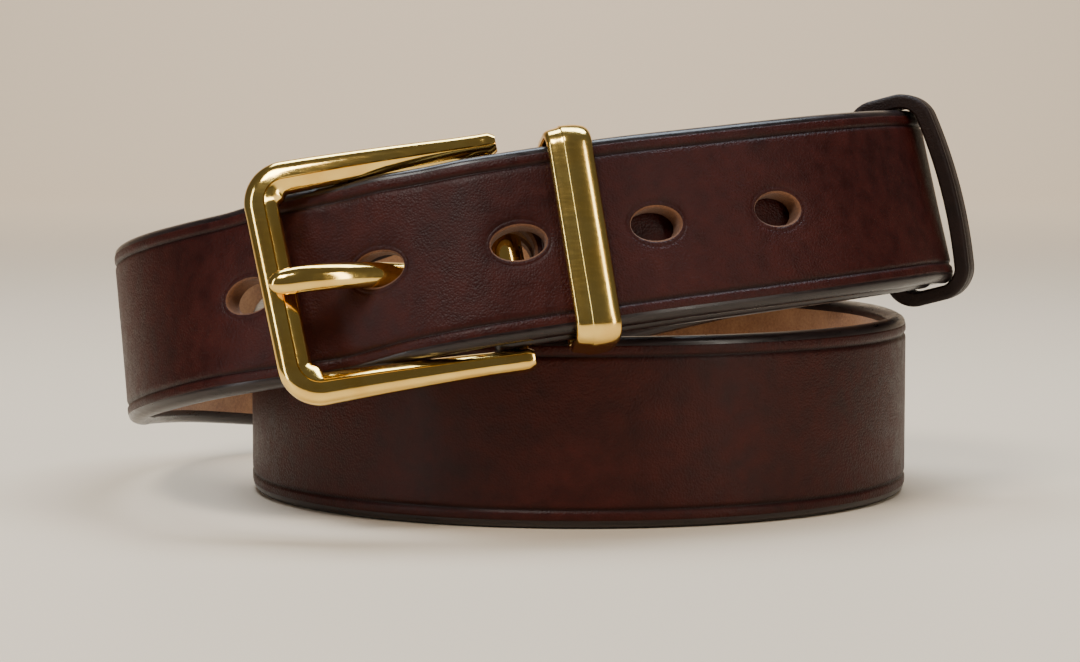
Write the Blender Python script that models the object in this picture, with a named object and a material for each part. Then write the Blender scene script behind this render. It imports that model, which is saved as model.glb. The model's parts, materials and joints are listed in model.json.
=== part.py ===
"""Leather dress belt, buckled and rolled into a double coil.

The strap is cut and punched flat, the way a saddler would cut it, and is then
bent along its route: the turned-back chape, the fold round the buckle bar, the
raised coil, the lower coil that stands on the table, and the holed end, which
runs through the buckle and both loops.  Sizes are in millimetres and become
metres at the end.  The belt stands on Z = 0, its buckle faces -Y.
"""
import math

import bmesh
import bpy
from mathutils import Matrix, Vector

MM = 0.001

# ---- strap -------------------------------------------------------------
STRAP_WIDTH = 35.0
HALF_WIDTH = STRAP_WIDTH / 2
STRAP_THICKNESS = 4.0
SKIVED_THICKNESS = 2.4
TURN_BACK_END_THICKNESS = 1.8
TIP_THICKNESS = 3.0
EDGE_ROUNDING = 1.1
STATION_STEP = 6.0
FOLD_STEP = 0.9
CROSS_CELLS = 3
BUCKLE_ZONE = 60.0
FOLD_MARGIN = 2.0
TRIM_LENGTH = 2.5
TIP_NARROWING = 0.82
TIP_CURVE = 1.7
PUNCH_SPARE = 4.0

# ---- route of the double coil, as half ellipses seen from above -----------
UPPER_LEFT_X = -81.5
UPPER_APEX_X = -25.0
UPPER_RIGHT_X = 73.2
UPPER_FRONT_DEPTH = 66.0
LOWER_LEFT_X = -56.0
LOWER_RIGHT_X = 71.5
LOWER_FRONT_DEPTH = 63.0
INNER_BACK_DEPTH = 54.0
OUTER_BACK_DEPTH = 67.0
ROUND_POWER = 1.0
SQUARE_POWER = 0.8
SOFT_POWER = 0.9

# Height of the strap's middle line at each turn; the buckle is near turn 0.
REST_HEIGHT = HALF_WIDTH
HEIGHTS = (
    (-0.62, REST_HEIGHT), (-0.45, 21.0), (-0.33, 26.0), (-0.25, 29.5), (0.0, 46.8),
    (0.1, 54.8), (0.2, 57.6), (0.3, 55.5), (0.4, 49.5), (0.5, 40.0), (0.65, 25.5),
    (0.8, REST_HEIGHT), (1.38, REST_HEIGHT),
)
# How far the strap's top edge leans in toward the middle of the coil, degrees.
LEANS = ((-0.45, 0.0), (-0.25, -6.0), (-0.08, 18.0), (0.05, 20.0), (0.18, 20.0), (0.25, 11.0),
         (0.42, 0.0))

# ---- where things sit along the strap, measured from the buckle bar --------
BAR_X = -6.7
HOLE_PITCH = 25.4
HOLE_COUNT = 5
PRONG_HOLE_AT = -22.8
HOLE_LENGTH = 9.9
HOLE_WIDTH = 6.3
TIP_AT = 154.0
TIP_TAPER = 26.0
TURN_BACK_LENGTH = 31.0
TURN_BACK_WIDTH_SHARE = 0.78
BRASS_LOOP_AT = 13.3
BRASS_LOOP_TILT = 3.3
STITCH_ROWS_AT = (7.0, 21.0)
KEEPER_TURN = 0.222

# Offsets outward from the route, as (distance from the bar, offset).
BILLET_OFFSETS = (
    (-66.0, 0.0), (-41.0, -1.4), (-30.0, -2.6), (-18.0, 0.1), (-6.0, 3.0),
    (0.0, 3.5), (14.0, 3.9), (28.0, 4.3), (170.0, 4.3),
)
# Inside the buckle the holed end stands straighter and a little higher, as
# (distance from the bar, degrees turned forward) and (distance from the bar, rise).
WINDOW_TURNS = ((-56.0, 0.0), (-42.0, 5.0), (-32.0, 10.0), (-22.0, 5.0), (-10.0, 0.0))
WINDOW_RISES = ((-56.0, 0.0), (-42.0, 0.2), (-32.0, 0.35), (-22.0, 0.15), (-10.0, 0.0))
TURN_BACK_OFFSETS = ((0.0, -6.4), (16.0, -6.4), (24.0, -5.4), (31.0, -3.8))
CHAPE_THICKNESSES = ((0.0, SKIVED_THICKNESS), (9.0, 2.8), (20.0, 3.0), (32.0, STRAP_THICKNESS))
BUCKLE_LIFT = 3.0
LIFT_STATIONS = ((-70.0, 0.0), (-12.0, BUCKLE_LIFT), (4.0, BUCKLE_LIFT), (45.0, 0.0))

# ---- buckle ----------------------------------------------------------------
BAR_RADIUS = 1.8
BAR_CLEARANCE = 0.2
FOLD_RADIUS = BAR_RADIUS + BAR_CLEARANCE + SKIVED_THICKNESS / 2
FRAME_FRONT_AT = -41.0
FRAME_END_AT = 2.6
FRAME_HEIGHT_FRONT = 45.1
FRAME_HEIGHT_BAR = 44.8
FRAME_ARM_WIDTH = 4.0
FRAME_FRONT_SWELL = 0.3
FRAME_CORNER_RADIUS = 5.0
FRAME_BAR_RISE = 1.6
FRAME_FRONT_RISE = 6.6
FRAME_SIDE_PLAY = 0.8
FRAME_FRONT_SKEW = 0.042
FRAME_RISE_CURVE = 1.6
SLOT_LENGTH = 21.0
SLOT_WIDTH = 9.6
TONGUE_SLEEVE_WIDTH = 6.4
TONGUE_SLEEVE_RADIUS = 3.8
# Tongue's middle line as (distance from the bar, height over it, radius).
TONGUE_PATH = (
    (-2.0, -0.6, 1.7), (-7.5, -1.4, 1.7), (-12.5, -1.2, 1.7), (-17.5, 0.5, 1.65),
    (-22.5, 3.9, 1.6), (-28.5, 7.9, 1.75), (-34.0, 10.6, 2.0), (-38.0, 11.6, 1.9),
    (-40.2, 11.9, 1.3),
)
TONGUE_SIDE_PLAY = 0.5

# ---- loops -------------------------------------------------------------------
BRASS_LOOP_WIDTH = 8.2
BRASS_LOOP_THICKNESS = 2.2
BRASS_LOOP_CLEARANCE = 0.9
BRASS_LOOP_CORNER = 1.4
BRASS_LOOP_BACK_GAP = 0.8
BRASS_LOOP_FRONT_GAP = 0.5
KEEPER_WIDTH = 11.0
KEEPER_THICKNESS = 2.8
KEEPER_SLACK = 1.6
KEEPER_CLEARANCE = 0.4
KEEPER_OUTER_GAP = 0.6
KEEPER_INNER_GAP = 1.8
KEEPER_CORNER = 2.4
RING_CORNER_STEPS = 5
RING_EDGE_ROUNDING = 0.5

# ---- thread and staple -------------------------------------------------------
THREAD_RADIUS = 0.35
STITCH_PITCH = 4.8
HOLES_PER_ROW = 6
STITCH_HOLE_LENGTH = 2.4
STITCH_HOLE_WIDTH = 1.2
CHANNEL_WIDTH = 1.2
CHANNEL_DEPTH = 0.9
STAPLE_WIDTH = 8.0
STAPLE_WIRE_RADIUS = 0.45
STAPLE_LEG = 1.9
STAPLE_HOLE_RADIUS = 0.65


# ---- small helpers -----------------------------------------------------------
def smooth_table(stations, at):
    """Value at a place in a short list of (place, value), smooth between them."""
    places = [place for place, _ in stations]
    values = [value for _, value in stations]
    if at <= places[0]:
        return values[0]
    if at >= places[-1]:
        return values[-1]
    index = max(i for i, place in enumerate(places) if place <= at)
    span = places[index + 1] - places[index]
    part = (at - places[index]) / span

    def slope(i):
        if i in (0, len(places) - 1):
            return 0.0
        if (values[i + 1] - values[i]) * (values[i] - values[i - 1]) <= 0:
            return 0.0
        return (values[i + 1] - values[i - 1]) / (places[i + 1] - places[i - 1])

    start = slope(index) * span
    end = slope(index + 1) * span
    return (
        values[index] * (2 * part**3 - 3 * part**2 + 1)
        + start * (part**3 - 2 * part**2 + part)
        + values[index + 1] * (3 * part**2 - 2 * part**3)
        + end * (part**3 - part**2)
    )


def signed_power(value, power):
    """Keep the sign of a value while raising its size to a power."""
    return math.copysign(abs(value) ** power, value)


# ---- the route -----------------------------------------------------------------
def route_point(turn):
    """Middle line of the strap, as a place in space, for a number of turns."""
    turn = (turn + 0.25) % 2.0 - 0.25
    angle = 2 * math.pi * turn
    power = ROUND_POWER
    if turn < 0.0:
        middle, reach, depth, power = (UPPER_APEX_X, UPPER_APEX_X - UPPER_LEFT_X,
                                       UPPER_FRONT_DEPTH, SOFT_POWER)
    elif turn < 0.25:
        middle, reach, depth = UPPER_APEX_X, UPPER_RIGHT_X - UPPER_APEX_X, UPPER_FRONT_DEPTH
    elif turn < 0.75:
        middle = (UPPER_RIGHT_X + LOWER_LEFT_X) / 2
        reach, depth = (UPPER_RIGHT_X - LOWER_LEFT_X) / 2, INNER_BACK_DEPTH
    elif turn < 1.25:
        middle = (LOWER_RIGHT_X + LOWER_LEFT_X) / 2
        reach, depth = (LOWER_RIGHT_X - LOWER_LEFT_X) / 2, LOWER_FRONT_DEPTH
    else:
        middle = (LOWER_RIGHT_X + UPPER_LEFT_X) / 2
        reach, depth, power = (LOWER_RIGHT_X - UPPER_LEFT_X) / 2, OUTER_BACK_DEPTH, SQUARE_POWER
    x = middle + reach * signed_power(math.sin(angle), power)
    y = -depth * signed_power(math.cos(angle), power)
    wrapped = turn - 2.0 if turn > 1.38 else turn
    return Vector((x, y, smooth_table(HEIGHTS, wrapped)))


class Route:
    """The double coil, measured along its length from the buckle bar."""

    SAMPLES = 6000

    def __init__(self):
        start = self.turn_of_bar()
        self.turns = [start + 2.0 * i / self.SAMPLES for i in range(self.SAMPLES + 1)]
        self.points = [route_point(turn) for turn in self.turns]
        self.lengths = [0.0]
        for first, second in zip(self.points, self.points[1:]):
            self.lengths.append(self.lengths[-1] + (second - first).length)
        self.total = self.lengths[-1]

    @staticmethod
    def turn_of_bar():
        """Turn at which the upper front passes the buckle bar."""
        share = (BAR_X - UPPER_APEX_X) / (UPPER_RIGHT_X - UPPER_APEX_X)
        return math.asin(share) / (2 * math.pi)

    def turn_at(self, distance):
        """Turn number at a distance along the route."""
        laps = math.floor(distance / self.total)
        rest = distance - laps * self.total
        low, high = 0, self.SAMPLES
        while high - low > 1:
            middle = (low + high) // 2
            if self.lengths[middle] <= rest:
                low = middle
            else:
                high = middle
        part = (rest - self.lengths[low]) / (self.lengths[high] - self.lengths[low])
        return self.turns[low] + part * (self.turns[high] - self.turns[low]) + 2.0 * laps

    def distance_of_turn(self, turn):
        """Distance along the route from the bar to a turn number."""
        index = round((turn - self.turns[0]) / 2.0 * self.SAMPLES)
        return self.lengths[index]

    def frame(self, distance):
        """Place, direction of travel, outward direction and across direction."""
        reach = 1.5
        place = route_point(self.turn_at(distance))
        ahead = route_point(self.turn_at(distance + reach))
        behind = route_point(self.turn_at(distance - reach))
        along = (ahead - behind).normalized()
        upright = Vector((0, 0, 1))
        across = (upright - upright.dot(along) * along).normalized()
        outward = along.cross(across)
        turn = (self.turn_at(distance) + 0.5) % 2.0 - 0.5
        lean = math.radians(smooth_table(LEANS, turn))
        leant_across = math.cos(lean) * across - math.sin(lean) * outward
        leant_outward = math.cos(lean) * outward + math.sin(lean) * across
        near = distance - self.total if distance > self.total / 2 else distance
        lifted = place + smooth_table(LIFT_STATIONS, near) * leant_outward
        return lifted, along, leant_outward, leant_across


class StrapLine:
    """Middle line of the whole strap, from the turned-back end to the tip."""

    def __init__(self, route):
        self.route = route
        self.points = []
        self.acrosses = []
        self.add_turn_back()
        self.add_fold()
        self.fold_end = len(self.points) - 1
        self.add_run()
        self.lengths = [0.0]
        for first, second in zip(self.points, self.points[1:]):
            self.lengths.append(self.lengths[-1] + (second - first).length)
        self.length = self.lengths[-1]
        self.bar_length = self.lengths[self.fold_end]
        self.buckle_length = self.length_at(route.total)

    def add(self, place, across):
        self.points.append(place)
        self.acrosses.append(across)

    def add_turn_back(self):
        """The skived end lies inside the strap, between the coil's middle and it."""
        distance = TURN_BACK_LENGTH
        while distance > 0.4:
            place, _, outward, across = self.route.frame(distance)
            self.add(place + smooth_table(TURN_BACK_OFFSETS, distance) * outward, across)
            distance -= 1.0

    def add_fold(self):
        """Half a turn of leather round the buckle bar."""
        axis, along, outward, across = bar_frame(self.route)
        steps = 16
        for step in range(steps + 1):
            angle = -math.pi / 2 - math.pi * step / steps
            place = axis + FOLD_RADIUS * (math.cos(angle) * along + math.sin(angle) * outward)
            self.add(place, across)

    def add_run(self):
        """Twice round the coil and out over the buckle to the tip."""
        distance = 1.0
        while distance < self.route.total + TIP_AT:
            place, _, outward, across = self.route.frame(distance)
            past_bar = distance - self.route.total
            offset = smooth_table(BILLET_OFFSETS, past_bar)
            rise = smooth_table(WINDOW_RISES, past_bar)
            turned = math.radians(smooth_table(WINDOW_TURNS, past_bar))
            self.add(place + offset * outward + rise * across,
                     math.cos(turned) * across + math.sin(turned) * outward)
            distance += 1.0

    def length_at(self, distance):
        """Length of strap at a distance along the route, past the bar once."""
        return self.lengths[self.fold_end + round(distance)]

    def turn_back_length_at(self, distance):
        """Length of strap at a distance past the bar, on the turned-back ply."""
        return self.lengths[round(TURN_BACK_LENGTH - distance)]

    def frame(self, length):
        """Place, outward direction and across direction at a length of strap."""
        length = min(max(length, 0.0), self.length)
        low, high = 0, len(self.lengths) - 1
        while high - low > 1:
            middle = (low + high) // 2
            if self.lengths[middle] <= length:
                low = middle
            else:
                high = middle
        part = (length - self.lengths[low]) / (self.lengths[high] - self.lengths[low])
        place = self.points[low].lerp(self.points[high], part)
        near, far = self.direction(low), self.direction(high)
        along = near.lerp(far, part).normalized()
        across = self.acrosses[low].lerp(self.acrosses[high], part)
        across = (across - across.dot(along) * along).normalized()
        return place, along.cross(across), across

    def direction(self, index):
        """Direction of travel at one of the line's points."""
        first = self.points[max(index - 1, 0)]
        last = self.points[min(index + 1, len(self.points) - 1)]
        return (last - first).normalized()

    def thickness(self, length):
        """Thickness of the leather at a length of strap."""
        if length < self.bar_length:
            part = length / self.bar_length
            return TURN_BACK_END_THICKNESS + part * (SKIVED_THICKNESS - TURN_BACK_END_THICKNESS)
        to_tip = self.length - length
        if to_tip < TIP_TAPER:
            return TIP_THICKNESS + (STRAP_THICKNESS - TIP_THICKNESS) * to_tip / TIP_TAPER
        return smooth_table(CHAPE_THICKNESSES, length - self.bar_length)


def bar_frame(route):
    """Axis of the buckle bar, under the strap's first ply."""
    place, along, outward, across = route.frame(0.0)
    return place - FOLD_RADIUS * outward, along, outward, across


# ---- meshes ------------------------------------------------------------------
def clear_scene():
    """Remove the objects of the file that this script is run in."""
    for thing in list(bpy.data.objects):
        bpy.data.objects.remove(thing, do_unlink=True)


def new_collection(name):
    """Collection that shows in the scene."""
    collection = bpy.data.collections.new(name)
    bpy.context.scene.collection.children.link(collection)
    return collection


def material(name, colour, roughness, metallic=0.0):
    """Principled material with one colour."""
    made = bpy.data.materials.new(name)
    made.use_nodes = True
    shader = made.node_tree.nodes["Principled BSDF"]
    shader.inputs["Base Color"].default_value = (*colour, 1.0)
    shader.inputs["Roughness"].default_value = roughness
    shader.inputs["Metallic"].default_value = metallic
    made.diffuse_color = (*colour, 1.0)
    return made


def object_from(shape, name, collection, finish=None):
    """Object made from a bmesh, which is then freed."""
    bmesh.ops.recalc_face_normals(shape, faces=shape.faces[:])
    mesh = bpy.data.meshes.new(name)
    shape.to_mesh(mesh)
    shape.free()
    made = bpy.data.objects.new(name, mesh)
    collection.objects.link(made)
    if finish is not None:
        mesh.materials.append(finish)
    return made


def apply_boolean(target, cutter, operation="DIFFERENCE"):
    """Cut one object with another, or join them, and keep the result as mesh."""
    modifier = target.modifiers.new(operation.lower(), "BOOLEAN")
    modifier.operation = operation
    modifier.solver = "EXACT"
    modifier.object = cutter
    bpy.context.view_layer.update()
    graph = bpy.context.evaluated_depsgraph_get()
    result = bpy.data.meshes.new_from_object(target.evaluated_get(graph))
    target.modifiers.clear()
    target.data = result


def swept_tube(name, path, radii, collection, sides=10):
    """Round rod of changing radius along a list of places, as a mesh object."""
    curve = bpy.data.curves.new(name + "_line", "CURVE")
    curve.dimensions = "3D"
    curve.resolution_u = 1
    curve.render_resolution_u = 0
    curve.bevel_depth = 1.0
    curve.bevel_resolution = max(sides // 2 - 2, 0)
    curve.use_fill_caps = True
    spline = curve.splines.new("POLY")
    spline.points.add(len(path) - 1)
    for point, place, radius in zip(spline.points, path, radii):
        point.co = (*place, 1.0)
        point.radius = radius
    holder = bpy.data.objects.new(name + "_line", curve)
    collection.objects.link(holder)
    bpy.context.view_layer.update()
    graph = bpy.context.evaluated_depsgraph_get()
    mesh = bpy.data.meshes.new_from_object(holder.evaluated_get(graph))
    bpy.data.objects.remove(holder, do_unlink=True)
    shape = bmesh.new()
    shape.from_mesh(mesh)
    bpy.data.meshes.remove(mesh)
    bmesh.ops.remove_doubles(shape, verts=shape.verts[:], dist=0.0001)
    return object_from(shape, name, collection)


def cylinder(name, radius, length, place, axis, collection, sides=24):
    """Cylinder centred on a place, with its length along X, Y or Z."""
    shape = bmesh.new()
    bmesh.ops.create_cone(shape, cap_ends=True, segments=sides, radius1=radius,
                          radius2=radius, depth=length)
    turns = {"X": Matrix.Rotation(math.pi / 2, 4, "Y"), "Y": Matrix.Rotation(math.pi / 2, 4, "X"),
             "Z": Matrix.Identity(4)}
    shape.transform(Matrix.Translation(place) @ turns[axis])
    return object_from(shape, name, collection)


def box(name, size, place, collection):
    """Box centred on a place."""
    shape = bmesh.new()
    bmesh.ops.create_cube(shape, size=1.0)
    shape.transform(Matrix.Translation(place) @ Matrix.Diagonal((*size, 1.0)))
    return object_from(shape, name, collection)


def oval(name, length, width, height, place, collection, sides=24):
    """Upright prism of oval section, its long side along X."""
    shape = bmesh.new()
    bmesh.ops.create_cone(shape, cap_ends=True, segments=sides, radius1=0.5, radius2=0.5, depth=1.0)
    shape.transform(Matrix.Translation(place) @ Matrix.Diagonal((length, width, height, 1.0)))
    return object_from(shape, name, collection)


def oblong(name, length, width, height, place, collection, sides=20):
    """Upright prism with rounded ends, its long side along X."""
    shape = bmesh.new()
    bmesh.ops.create_cone(shape, cap_ends=True, segments=sides, radius1=width / 2,
                          radius2=width / 2, depth=height)
    shift = (length - width) / 2
    for vert in shape.verts:
        if vert.co.x > 0.001:
            vert.co.x += shift
        elif vert.co.x < -0.001:
            vert.co.x -= shift
    shape.transform(Matrix.Translation(place))
    return object_from(shape, name, collection)


# ---- strap -----------------------------------------------------------------------
def strap_stations(line):
    """Places along the flat strap where it is cut across, closer at the fold."""
    fold_start = line.bar_length - math.pi * FOLD_RADIUS - FOLD_MARGIN
    fold_stop = line.bar_length + FOLD_MARGIN
    stations = []
    place = 0.0
    while place < line.length - STATION_STEP / 2:
        stations.append(place)
        in_fold = fold_start - 0.5 < place < fold_stop
        near_buckle = abs(place - line.buckle_length) < BUCKLE_ZONE
        step = STATION_STEP
        if near_buckle:
            step = STATION_STEP / 2
        if in_fold:
            step = FOLD_STEP
        if place < fold_start < place + step and not in_fold:
            step = fold_start - place + 0.01
        place += step
    stations.append(line.length)
    return stations


def width_share(line, length):
    """Share of the strap's width at a length: trimmed turn-back and pointed tip."""
    fold_start = line.bar_length - math.pi * FOLD_RADIUS
    if length < fold_start:
        part = min((fold_start - length) / TRIM_LENGTH, 1.0)
        return 1.0 + part * (TURN_BACK_WIDTH_SHARE - 1.0)
    to_tip = line.length - length
    if to_tip >= TIP_TAPER:
        return 1.0
    part = 1.0 - to_tip / TIP_TAPER
    return 1.0 - TIP_NARROWING * part**TIP_CURVE


def flat_strap(line, collection):
    """Flat strap with rounded edges, before its holes are punched."""
    stations = strap_stations(line)
    shape = bmesh.new()
    bmesh.ops.create_grid(shape, x_segments=len(stations) - 1, y_segments=CROSS_CELLS, size=1.0)
    for vert in shape.verts:
        index = round((vert.co.x + 1.0) / 2.0 * (len(stations) - 1))
        length = stations[index]
        vert.co.x = length
        vert.co.y *= HALF_WIDTH * width_share(line, length)
        vert.co.z = -0.5
    raised = bmesh.ops.extrude_face_region(shape, geom=shape.faces[:])
    for item in raised["geom"]:
        if isinstance(item, bmesh.types.BMVert):
            item.co.z = 0.5
    bmesh.ops.recalc_face_normals(shape, faces=shape.faces[:])
    for vert in shape.verts:
        vert.co.z *= STRAP_THICKNESS
    edges = [edge for edge in shape.edges
             if edge.calc_face_angle(0.0) > 1.0 and abs(edge.verts[0].co.z - edge.verts[1].co.z) < 0.1]
    bmesh.ops.bevel(shape, geom=edges, offset=EDGE_ROUNDING, segments=2, profile=0.5,
                    affect="EDGES", clamp_overlap=True)
    return object_from(shape, "strap", collection)


def punch_strap(strap, line, cutters):
    """Punch the buckle holes, the tongue's slot and the stitch holes."""
    deep = STRAP_THICKNESS + PUNCH_SPARE
    punches = []
    for number in range(HOLE_COUNT):
        along = line.buckle_length + PRONG_HOLE_AT + HOLE_PITCH * (number - 1)
        punches.append(oval(f"hole_punch_{number + 1}", HOLE_LENGTH, HOLE_WIDTH, deep,
                            (along, 0.0, 0.0), cutters))
    middle = line.bar_length - math.pi * FOLD_RADIUS / 2
    punches.append(oblong("tongue_slot_punch", SLOT_LENGTH, SLOT_WIDTH, deep,
                          (middle, 0.0, 0.0), cutters))
    punches += stitch_punches(line, cutters)
    for punch in punches:
        apply_boolean(strap, punch)
        punch.hide_render = True
        punch.display_type = "WIRE"


def stitch_places():
    """Places of one row's holes across the strap."""
    first = -(HOLES_PER_ROW - 1) / 2 * STITCH_PITCH
    return [first + STITCH_PITCH * number for number in range(HOLES_PER_ROW)]


def stitch_punches(line, cutters):
    """Awl holes through both plies, and the channel that hides the needle thread."""
    punches = []
    for row in STITCH_ROWS_AT:
        for ply in (line.length_at(row), line.turn_back_length_at(row)):
            for place in stitch_places():
                size = (STITCH_HOLE_WIDTH, STITCH_HOLE_LENGTH, STRAP_THICKNESS + PUNCH_SPARE)
                punches.append(box("awl_hole", size, (ply, place, 0.0), cutters))
        depth = CHANNEL_DEPTH * STRAP_THICKNESS / line.thickness(line.length_at(row))
        size = (CHANNEL_WIDTH, STITCH_PITCH * (HOLES_PER_ROW - 1), 2 * depth)
        top = STRAP_THICKNESS / 2
        punches.append(box("thread_channel", size, (line.length_at(row), 0.0, top), cutters))
    return punches


def bend_strap(strap, line):
    """Lay the flat strap along its route."""
    shape = bmesh.new()
    shape.from_mesh(strap.data)
    bmesh.ops.remove_doubles(shape, verts=shape.verts[:], dist=0.001)
    bmesh.ops.triangulate(shape, faces=shape.faces[:])
    for vert in shape.verts:
        place, outward, across = line.frame(vert.co.x)
        height = vert.co.z / STRAP_THICKNESS * line.thickness(vert.co.x)
        vert.co = place + vert.co.y * across + height * outward
    bmesh.ops.recalc_face_normals(shape, faces=shape.faces[:])
    shape.to_mesh(strap.data)
    shape.free()


def make_strap(line, parts, cutters, finish):
    """The one piece of leather."""
    strap = flat_strap(line, parts)
    punch_strap(strap, line, cutters)
    bend_strap(strap, line)
    strap.data.materials.clear()
    strap.data.materials.append(finish)
    return strap


# ---- buckle -------------------------------------------------------------------------
def local_matrix(place, along, outward, across):
    """Matrix whose X runs along the strap, Y across it and Z outward."""
    return Matrix((
        (along.x, across.x, outward.x, place.x),
        (along.y, across.y, outward.y, place.y),
        (along.z, across.z, outward.z, place.z),
        (0.0, 0.0, 0.0, 1.0),
    ))


def buckle_matrix(route):
    """Seat of the buckle: its origin is the middle of the bar."""
    axis, _, _, across = bar_frame(route)
    front, _, _, _ = route.frame(route.total + FRAME_FRONT_AT)
    along = axis - front
    along = (along - along.dot(across) * across).normalized()
    outward = along.cross(across)
    return local_matrix(axis, along, outward, across)


def frame_rise(at):
    """Height of the frame's middle above the bar, at a distance from the bar."""
    part = min(max(at / FRAME_FRONT_AT, 0.0), 1.0)
    return FRAME_BAR_RISE + (FRAME_FRONT_RISE - FRAME_BAR_RISE) * (1.0 - (1.0 - part) ** FRAME_RISE_CURVE)


def frame_point(x, y):
    """Place on the frame's middle line, with the front bar a little askew."""
    part = min(max(x / FRAME_FRONT_AT, 0.0), 1.0)
    slant = FRAME_FRONT_SKEW * part * (FRAME_HEIGHT_FRONT / 2 - y)
    return x + slant, y + FRAME_SIDE_PLAY, frame_rise(x)


def frame_outline():
    """Middle line of the frame from one arm's end round to the other's."""
    half_bar = (FRAME_HEIGHT_BAR - FRAME_ARM_WIDTH) / 2
    half_front = (FRAME_HEIGHT_FRONT - FRAME_ARM_WIDTH * (1.0 + FRAME_FRONT_SWELL)) / 2
    corner_x = FRAME_FRONT_AT + FRAME_CORNER_RADIUS
    arm_steps = 5
    corner_steps = 4
    top = []
    for step in range(arm_steps):
        part = step / (arm_steps - 1)
        top.append((FRAME_END_AT + part * (corner_x - FRAME_END_AT),
                    half_bar + part * (half_front - half_bar)))
    for step in range(1, corner_steps + 1):
        angle = math.pi / 2 * (1.0 + step / corner_steps)
        top.append((corner_x + FRAME_CORNER_RADIUS * math.cos(angle),
                    half_front - FRAME_CORNER_RADIUS + FRAME_CORNER_RADIUS * math.sin(angle)))
    bottom = [(x, -y) for x, y in reversed(top)]
    return top + bottom


def make_frame(seat, parts, cutters, finish):
    """Cast frame with its heel bar."""
    outline = frame_outline()
    path = [frame_point(x, y) for x, y in outline]
    radii = []
    for x, _ in outline:
        swell = min(1.0, max(0.0, 1.2 * x / FRAME_FRONT_AT - 0.2))
        radii.append(FRAME_ARM_WIDTH / 2 * (1.0 + FRAME_FRONT_SWELL * swell))
    frame = swept_tube("buckle_frame", path, radii, parts, sides=12)
    bar_length = FRAME_HEIGHT_BAR - FRAME_ARM_WIDTH
    bar = cylinder("heel_bar", BAR_RADIUS, bar_length, (0.0, FRAME_SIDE_PLAY, 0.0), "Y", cutters,
                   sides=20)
    apply_boolean(frame, bar, "UNION")
    bar.hide_render = True
    bar.display_type = "WIRE"
    frame.data.materials.clear()
    frame.data.materials.append(finish)
    frame.matrix_world = seat
    return frame


def tongue_side(at):
    """How far the tongue's middle is off the bar's middle, sideways."""
    return TONGUE_SIDE_PLAY * (1.0 - (at / FRAME_FRONT_AT) ** 2)


def make_tongue(seat, parts, cutters, finish):
    """Tongue: a sleeve round the bar and a shank that ends on the front bar."""
    middle = (0.0, TONGUE_SIDE_PLAY, 0.0)
    tongue = cylinder("buckle_tongue", TONGUE_SLEEVE_RADIUS, TONGUE_SLEEVE_WIDTH, middle, "Y", parts,
                      sides=24)
    path = [(x, tongue_side(x), height) for x, height, _ in TONGUE_PATH]
    radii = [radius for _, _, radius in TONGUE_PATH]
    shank = swept_tube("tongue_shank", path, radii, cutters, sides=12)
    bore = cylinder("tongue_bore", BAR_RADIUS + BAR_CLEARANCE, TONGUE_SLEEVE_WIDTH + PUNCH_SPARE, middle, "Y",
                    cutters, sides=20)
    apply_boolean(tongue, shank, "UNION")
    apply_boolean(tongue, bore)
    for cutter in (shank, bore):
        cutter.hide_render = True
        cutter.display_type = "WIRE"
    tongue.data.materials.clear()
    tongue.data.materials.append(finish)
    tongue.matrix_world = seat
    return tongue


# ---- loops and thread ---------------------------------------------------------------
def ring(name, inner_low, inner_high, inner_half, thickness, width, corner, collection, bulge=0.0):
    """Flat band bent into a closed rounded rectangle in the YZ plane."""
    shape = bmesh.new()
    sides = []
    mid_z = (inner_low + inner_high) / 2
    half_z = (inner_high - inner_low) / 2
    for quarter in range(4):
        for step in range(RING_CORNER_STEPS + 1):
            angle = math.pi / 2 * (quarter + step / RING_CORNER_STEPS)
            sign_y = math.copysign(1.0, math.cos(angle + 1e-6 if step == 0 else angle - 1e-6))
            sign_z = math.copysign(1.0, math.sin(angle + 1e-6 if step == 0 else angle - 1e-6))
            sides.append((sign_y * (inner_half - corner) + corner * math.cos(angle),
                          mid_z + sign_z * (half_z - corner) + corner * math.sin(angle),
                          math.cos(angle), math.sin(angle)))
    rings = []
    for x, grow in ((-width / 2, 0.0), (-width / 2, thickness), (width / 2, thickness),
                    (width / 2, 0.0)):
        verts = []
        for y, z, out_y, out_z in sides:
            lift = bulge * (1.0 - (y / inner_half) ** 2) if z > mid_z else 0.0
            verts.append(shape.verts.new((x, y + grow * out_y, z + grow * out_z + lift)))
        rings.append(verts)
    count = len(sides)
    for band in range(4):
        first, second = rings[band], rings[(band + 1) % 4]
        for i in range(count):
            j = (i + 1) % count
            shape.faces.new((first[i], first[j], second[j], second[i]))
    edges = [edge for edge in shape.edges if edge.calc_face_angle(0.0) > 1.2]
    bmesh.ops.recalc_face_normals(shape, faces=shape.faces[:])
    bmesh.ops.bevel(shape, geom=edges, offset=RING_EDGE_ROUNDING, segments=1, profile=0.5,
                    affect="EDGES")
    bmesh.ops.triangulate(shape, faces=shape.faces[:])
    return object_from(shape, name, collection)


def billet_outer_offset(distance):
    """Offset of the billet's outer face from the route."""
    return smooth_table(BILLET_OFFSETS, distance) + STRAP_THICKNESS / 2


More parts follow.
